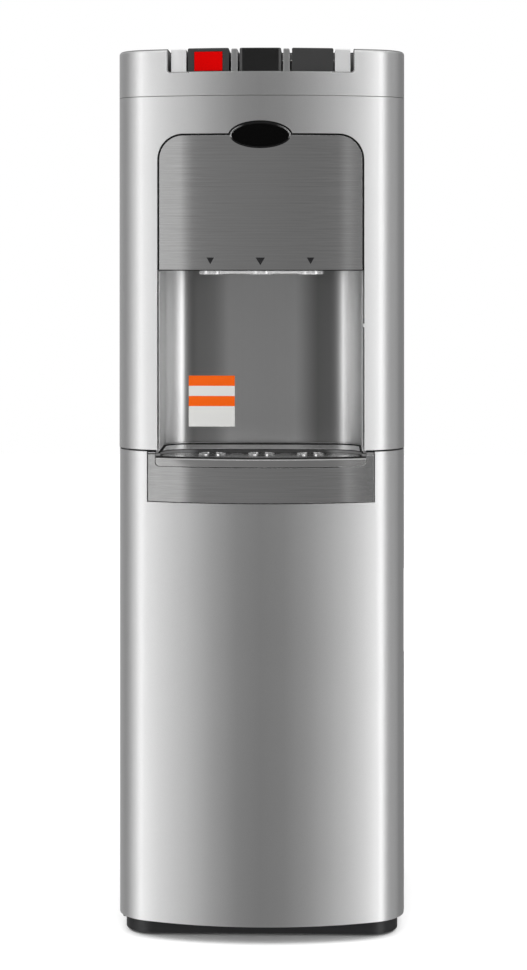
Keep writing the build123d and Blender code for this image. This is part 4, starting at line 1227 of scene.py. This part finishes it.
@dataclass
class Studio:
    """Floor, surroundings, lamps and camera."""

    nose_y: float = -0.184
    camera_distance: float = 2.70
    camera_x: float = 0.065
    camera_z: float = 0.8225
    nose_px: float = 260.3
    frame_px: tuple[int, int] = (527, 970)
    focal_px: float = 2320.0
    horizon_px: float = 240.0
    sensor_height: float = 36.0
    floor_size: float = 12.0
    floor_level: float = 0.62
    # How near the object the floor's glow fades into a painted shadow, and the share of open sky over which
    # it does.
    shadow_reach: float = 0.055
    shadow_sky: tuple[float, float] = (0.20, 0.46)
    sky_samples: int = 16
    # Brightness of the sky overhead, and the heights of the ray between which it takes over.
    sky_level: float = 0.9
    sky_band: tuple[float, float] = (0.35, 0.95)
    # Brightness of the surroundings by angle round from the front, left side first.
    left_levels: Ramp = (
        (0, 0.16), (14, 0.17), (22, 0.18), (27, 0.20), (31, 0.44), (36, 0.43), (41, 0.46), (45, 0.33),
        (49, 3.0), (54, 2.49), (60, 0.08), (67, 1.6), (75, 0.08), (84, 0.78), (98, 0.12), (150, 0.44))
    right_levels: Ramp = (
        (0, 0.16), (14, 0.15), (22, 0.15), (28, 0.16), (31, 0.26), (34, 0.19), (38, 0.15), (42, 0.08),
        (46, 3.0), (50, 3.0), (55, 2.69), (62, 0.08), (70, 0.08), (84, 0.24), (98, 0.48), (118, 0.12),
        (150, 0.24))
    # A broad soft lamp overhead, and a fill in front.
    lamps: tuple[Lamp, ...] = (
        Lamp("overhead", place=(0.0, -0.7, 2.6), target=(0.0, 0.0, 0.6), size=1.6, watts=12.0),
        Lamp("front_fill", place=(0.1, -2.4, 0.75), target=(0.0, 0.0, 0.65), size=1.2, watts=30.0))

    def build(self) -> None:
        """Makes the whole studio."""
        self._floor()
        self._world()
        for lamp in self.lamps:
            lamp.build()
        self._camera()

    def _floor(self) -> None:
        """White floor that keeps the object's soft shadow, with a painted shadow where its glow fades near
        the object.
        """
        bpy.ops.mesh.primitive_plane_add(size=self.floor_size)
        floor = bpy.context.object
        floor.name = "floor"
        made = bpy.data.materials.new("floor_white")
        made.use_nodes = True
        shader = Shader(made.node_tree)
        seen = shader.node("ShaderNodeLightPath", {}, {}, "Is Camera Ray")
        plain = shader.node("ShaderNodeBsdfDiffuse", {}, {"Color": rgba(grey(self.floor_level))})
        near = {"Distance": self.shadow_reach}
        open_sky = shader.node("ShaderNodeAmbientOcclusion", {"samples": self.sky_samples}, near, "AO")
        # Painted shadow: the glow fades where the sky is hidden near the object.
        tint = shader.blend(open_sky.remap(*self.shadow_sky), rgba(grey(0.0)), rgba(grey(1.0)))
        glow = shader.node("ShaderNodeEmission", {}, {"Color": tint, "Strength": self.floor_level})
        soft = shader.node("ShaderNodeAddShader", {}, {0: plain, 1: glow})
        mixed = shader.node("ShaderNodeMixShader", {}, {0: seen, 1: plain, 2: soft})
        shader.ends_in(mixed, "ShaderNodeOutputMaterial")
        floor.data.materials.append(made)
        floor.visible_glossy = False

    def _world(self) -> None:
        """Surroundings: white behind the object, graded round to a dim front."""
        world = bpy.data.worlds.new("studio")
        bpy.context.scene.world = world
        world.use_nodes = True
        shader = Shader(world.node_tree)
        ray = shader.node("ShaderNodeTexCoord", {}, {}, "Generated")
        forward = 0.0 - shader.part(ray, "Y")
        angle = shader.part(ray, "X").turned_from(forward)
        turn = angle / (2.0 * math.pi) + 0.5
        stops = [(0.5 - a / 360.0, level) for a, level in reversed(self.left_levels)]
        stops += [(0.5 + a / 360.0, level) for a, level in self.right_levels[1:]]
        peak = max(level for _, level in stops)
        levels = [(p, v / peak) for p, v in stops]
        ramp = shader.node("ShaderNodeValToRGB", {"stops": levels}, {0: turn})
        up = shader.part(ray, "Z")
        top = up.remap(*self.sky_band)
        around = shader.node("ShaderNodeRGBToBW", {}, {0: ramp}) * peak
        level = around * (1.0 - top) + self.sky_level * top
        seen = shader.node("ShaderNodeLightPath", {}, {}, "Is Camera Ray")
        strength = seen + (1.0 - seen) * level
        glow = shader.node("ShaderNodeBackground", {}, {"Color": (1, 1, 1, 1), "Strength": strength})
        shader.ends_in(glow, "ShaderNodeOutputWorld")

    def _camera(self) -> None:
        """Camera at the photograph's place, level, and shifted to frame the object."""
        data = bpy.data.cameras.new("camera")
        width, height = self.frame_px
        data.sensor_fit = "VERTICAL"
        data.sensor_height = self.sensor_height
        data.lens = self.focal_px / height * data.sensor_height
        data.shift_y = self.horizon_px / height - 0.5
        camera = bpy.data.objects.new("camera", data)
        camera.location = (self.camera_x, self.nose_y - self.camera_distance, self.camera_z)
        aim_px = self.nose_px - width / 2.0
        yaw = math.atan(self.camera_x / self.camera_distance) + math.atan(aim_px / self.focal_px)
        camera.rotation_euler = (math.pi / 2, 0.0, yaw)
        bpy.context.scene.collection.objects.link(camera)
        bpy.context.scene.camera = camera


def main() -> None:
    """Builds the studio and dresses every sub-assembly."""
    logging.basicConfig(level=logging.INFO)
    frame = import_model()
    bpy.context.scene.view_settings.view_transform = "Standard"
    Studio().build()
    for unit in (Cabinet(), UpperFront(), Niche(), ButtonBank(), TrayUnit(), Door(), WaterWorks(), Rear()):
        unit.build(frame["nodes"])


if __name__ == "__main__":
    main()
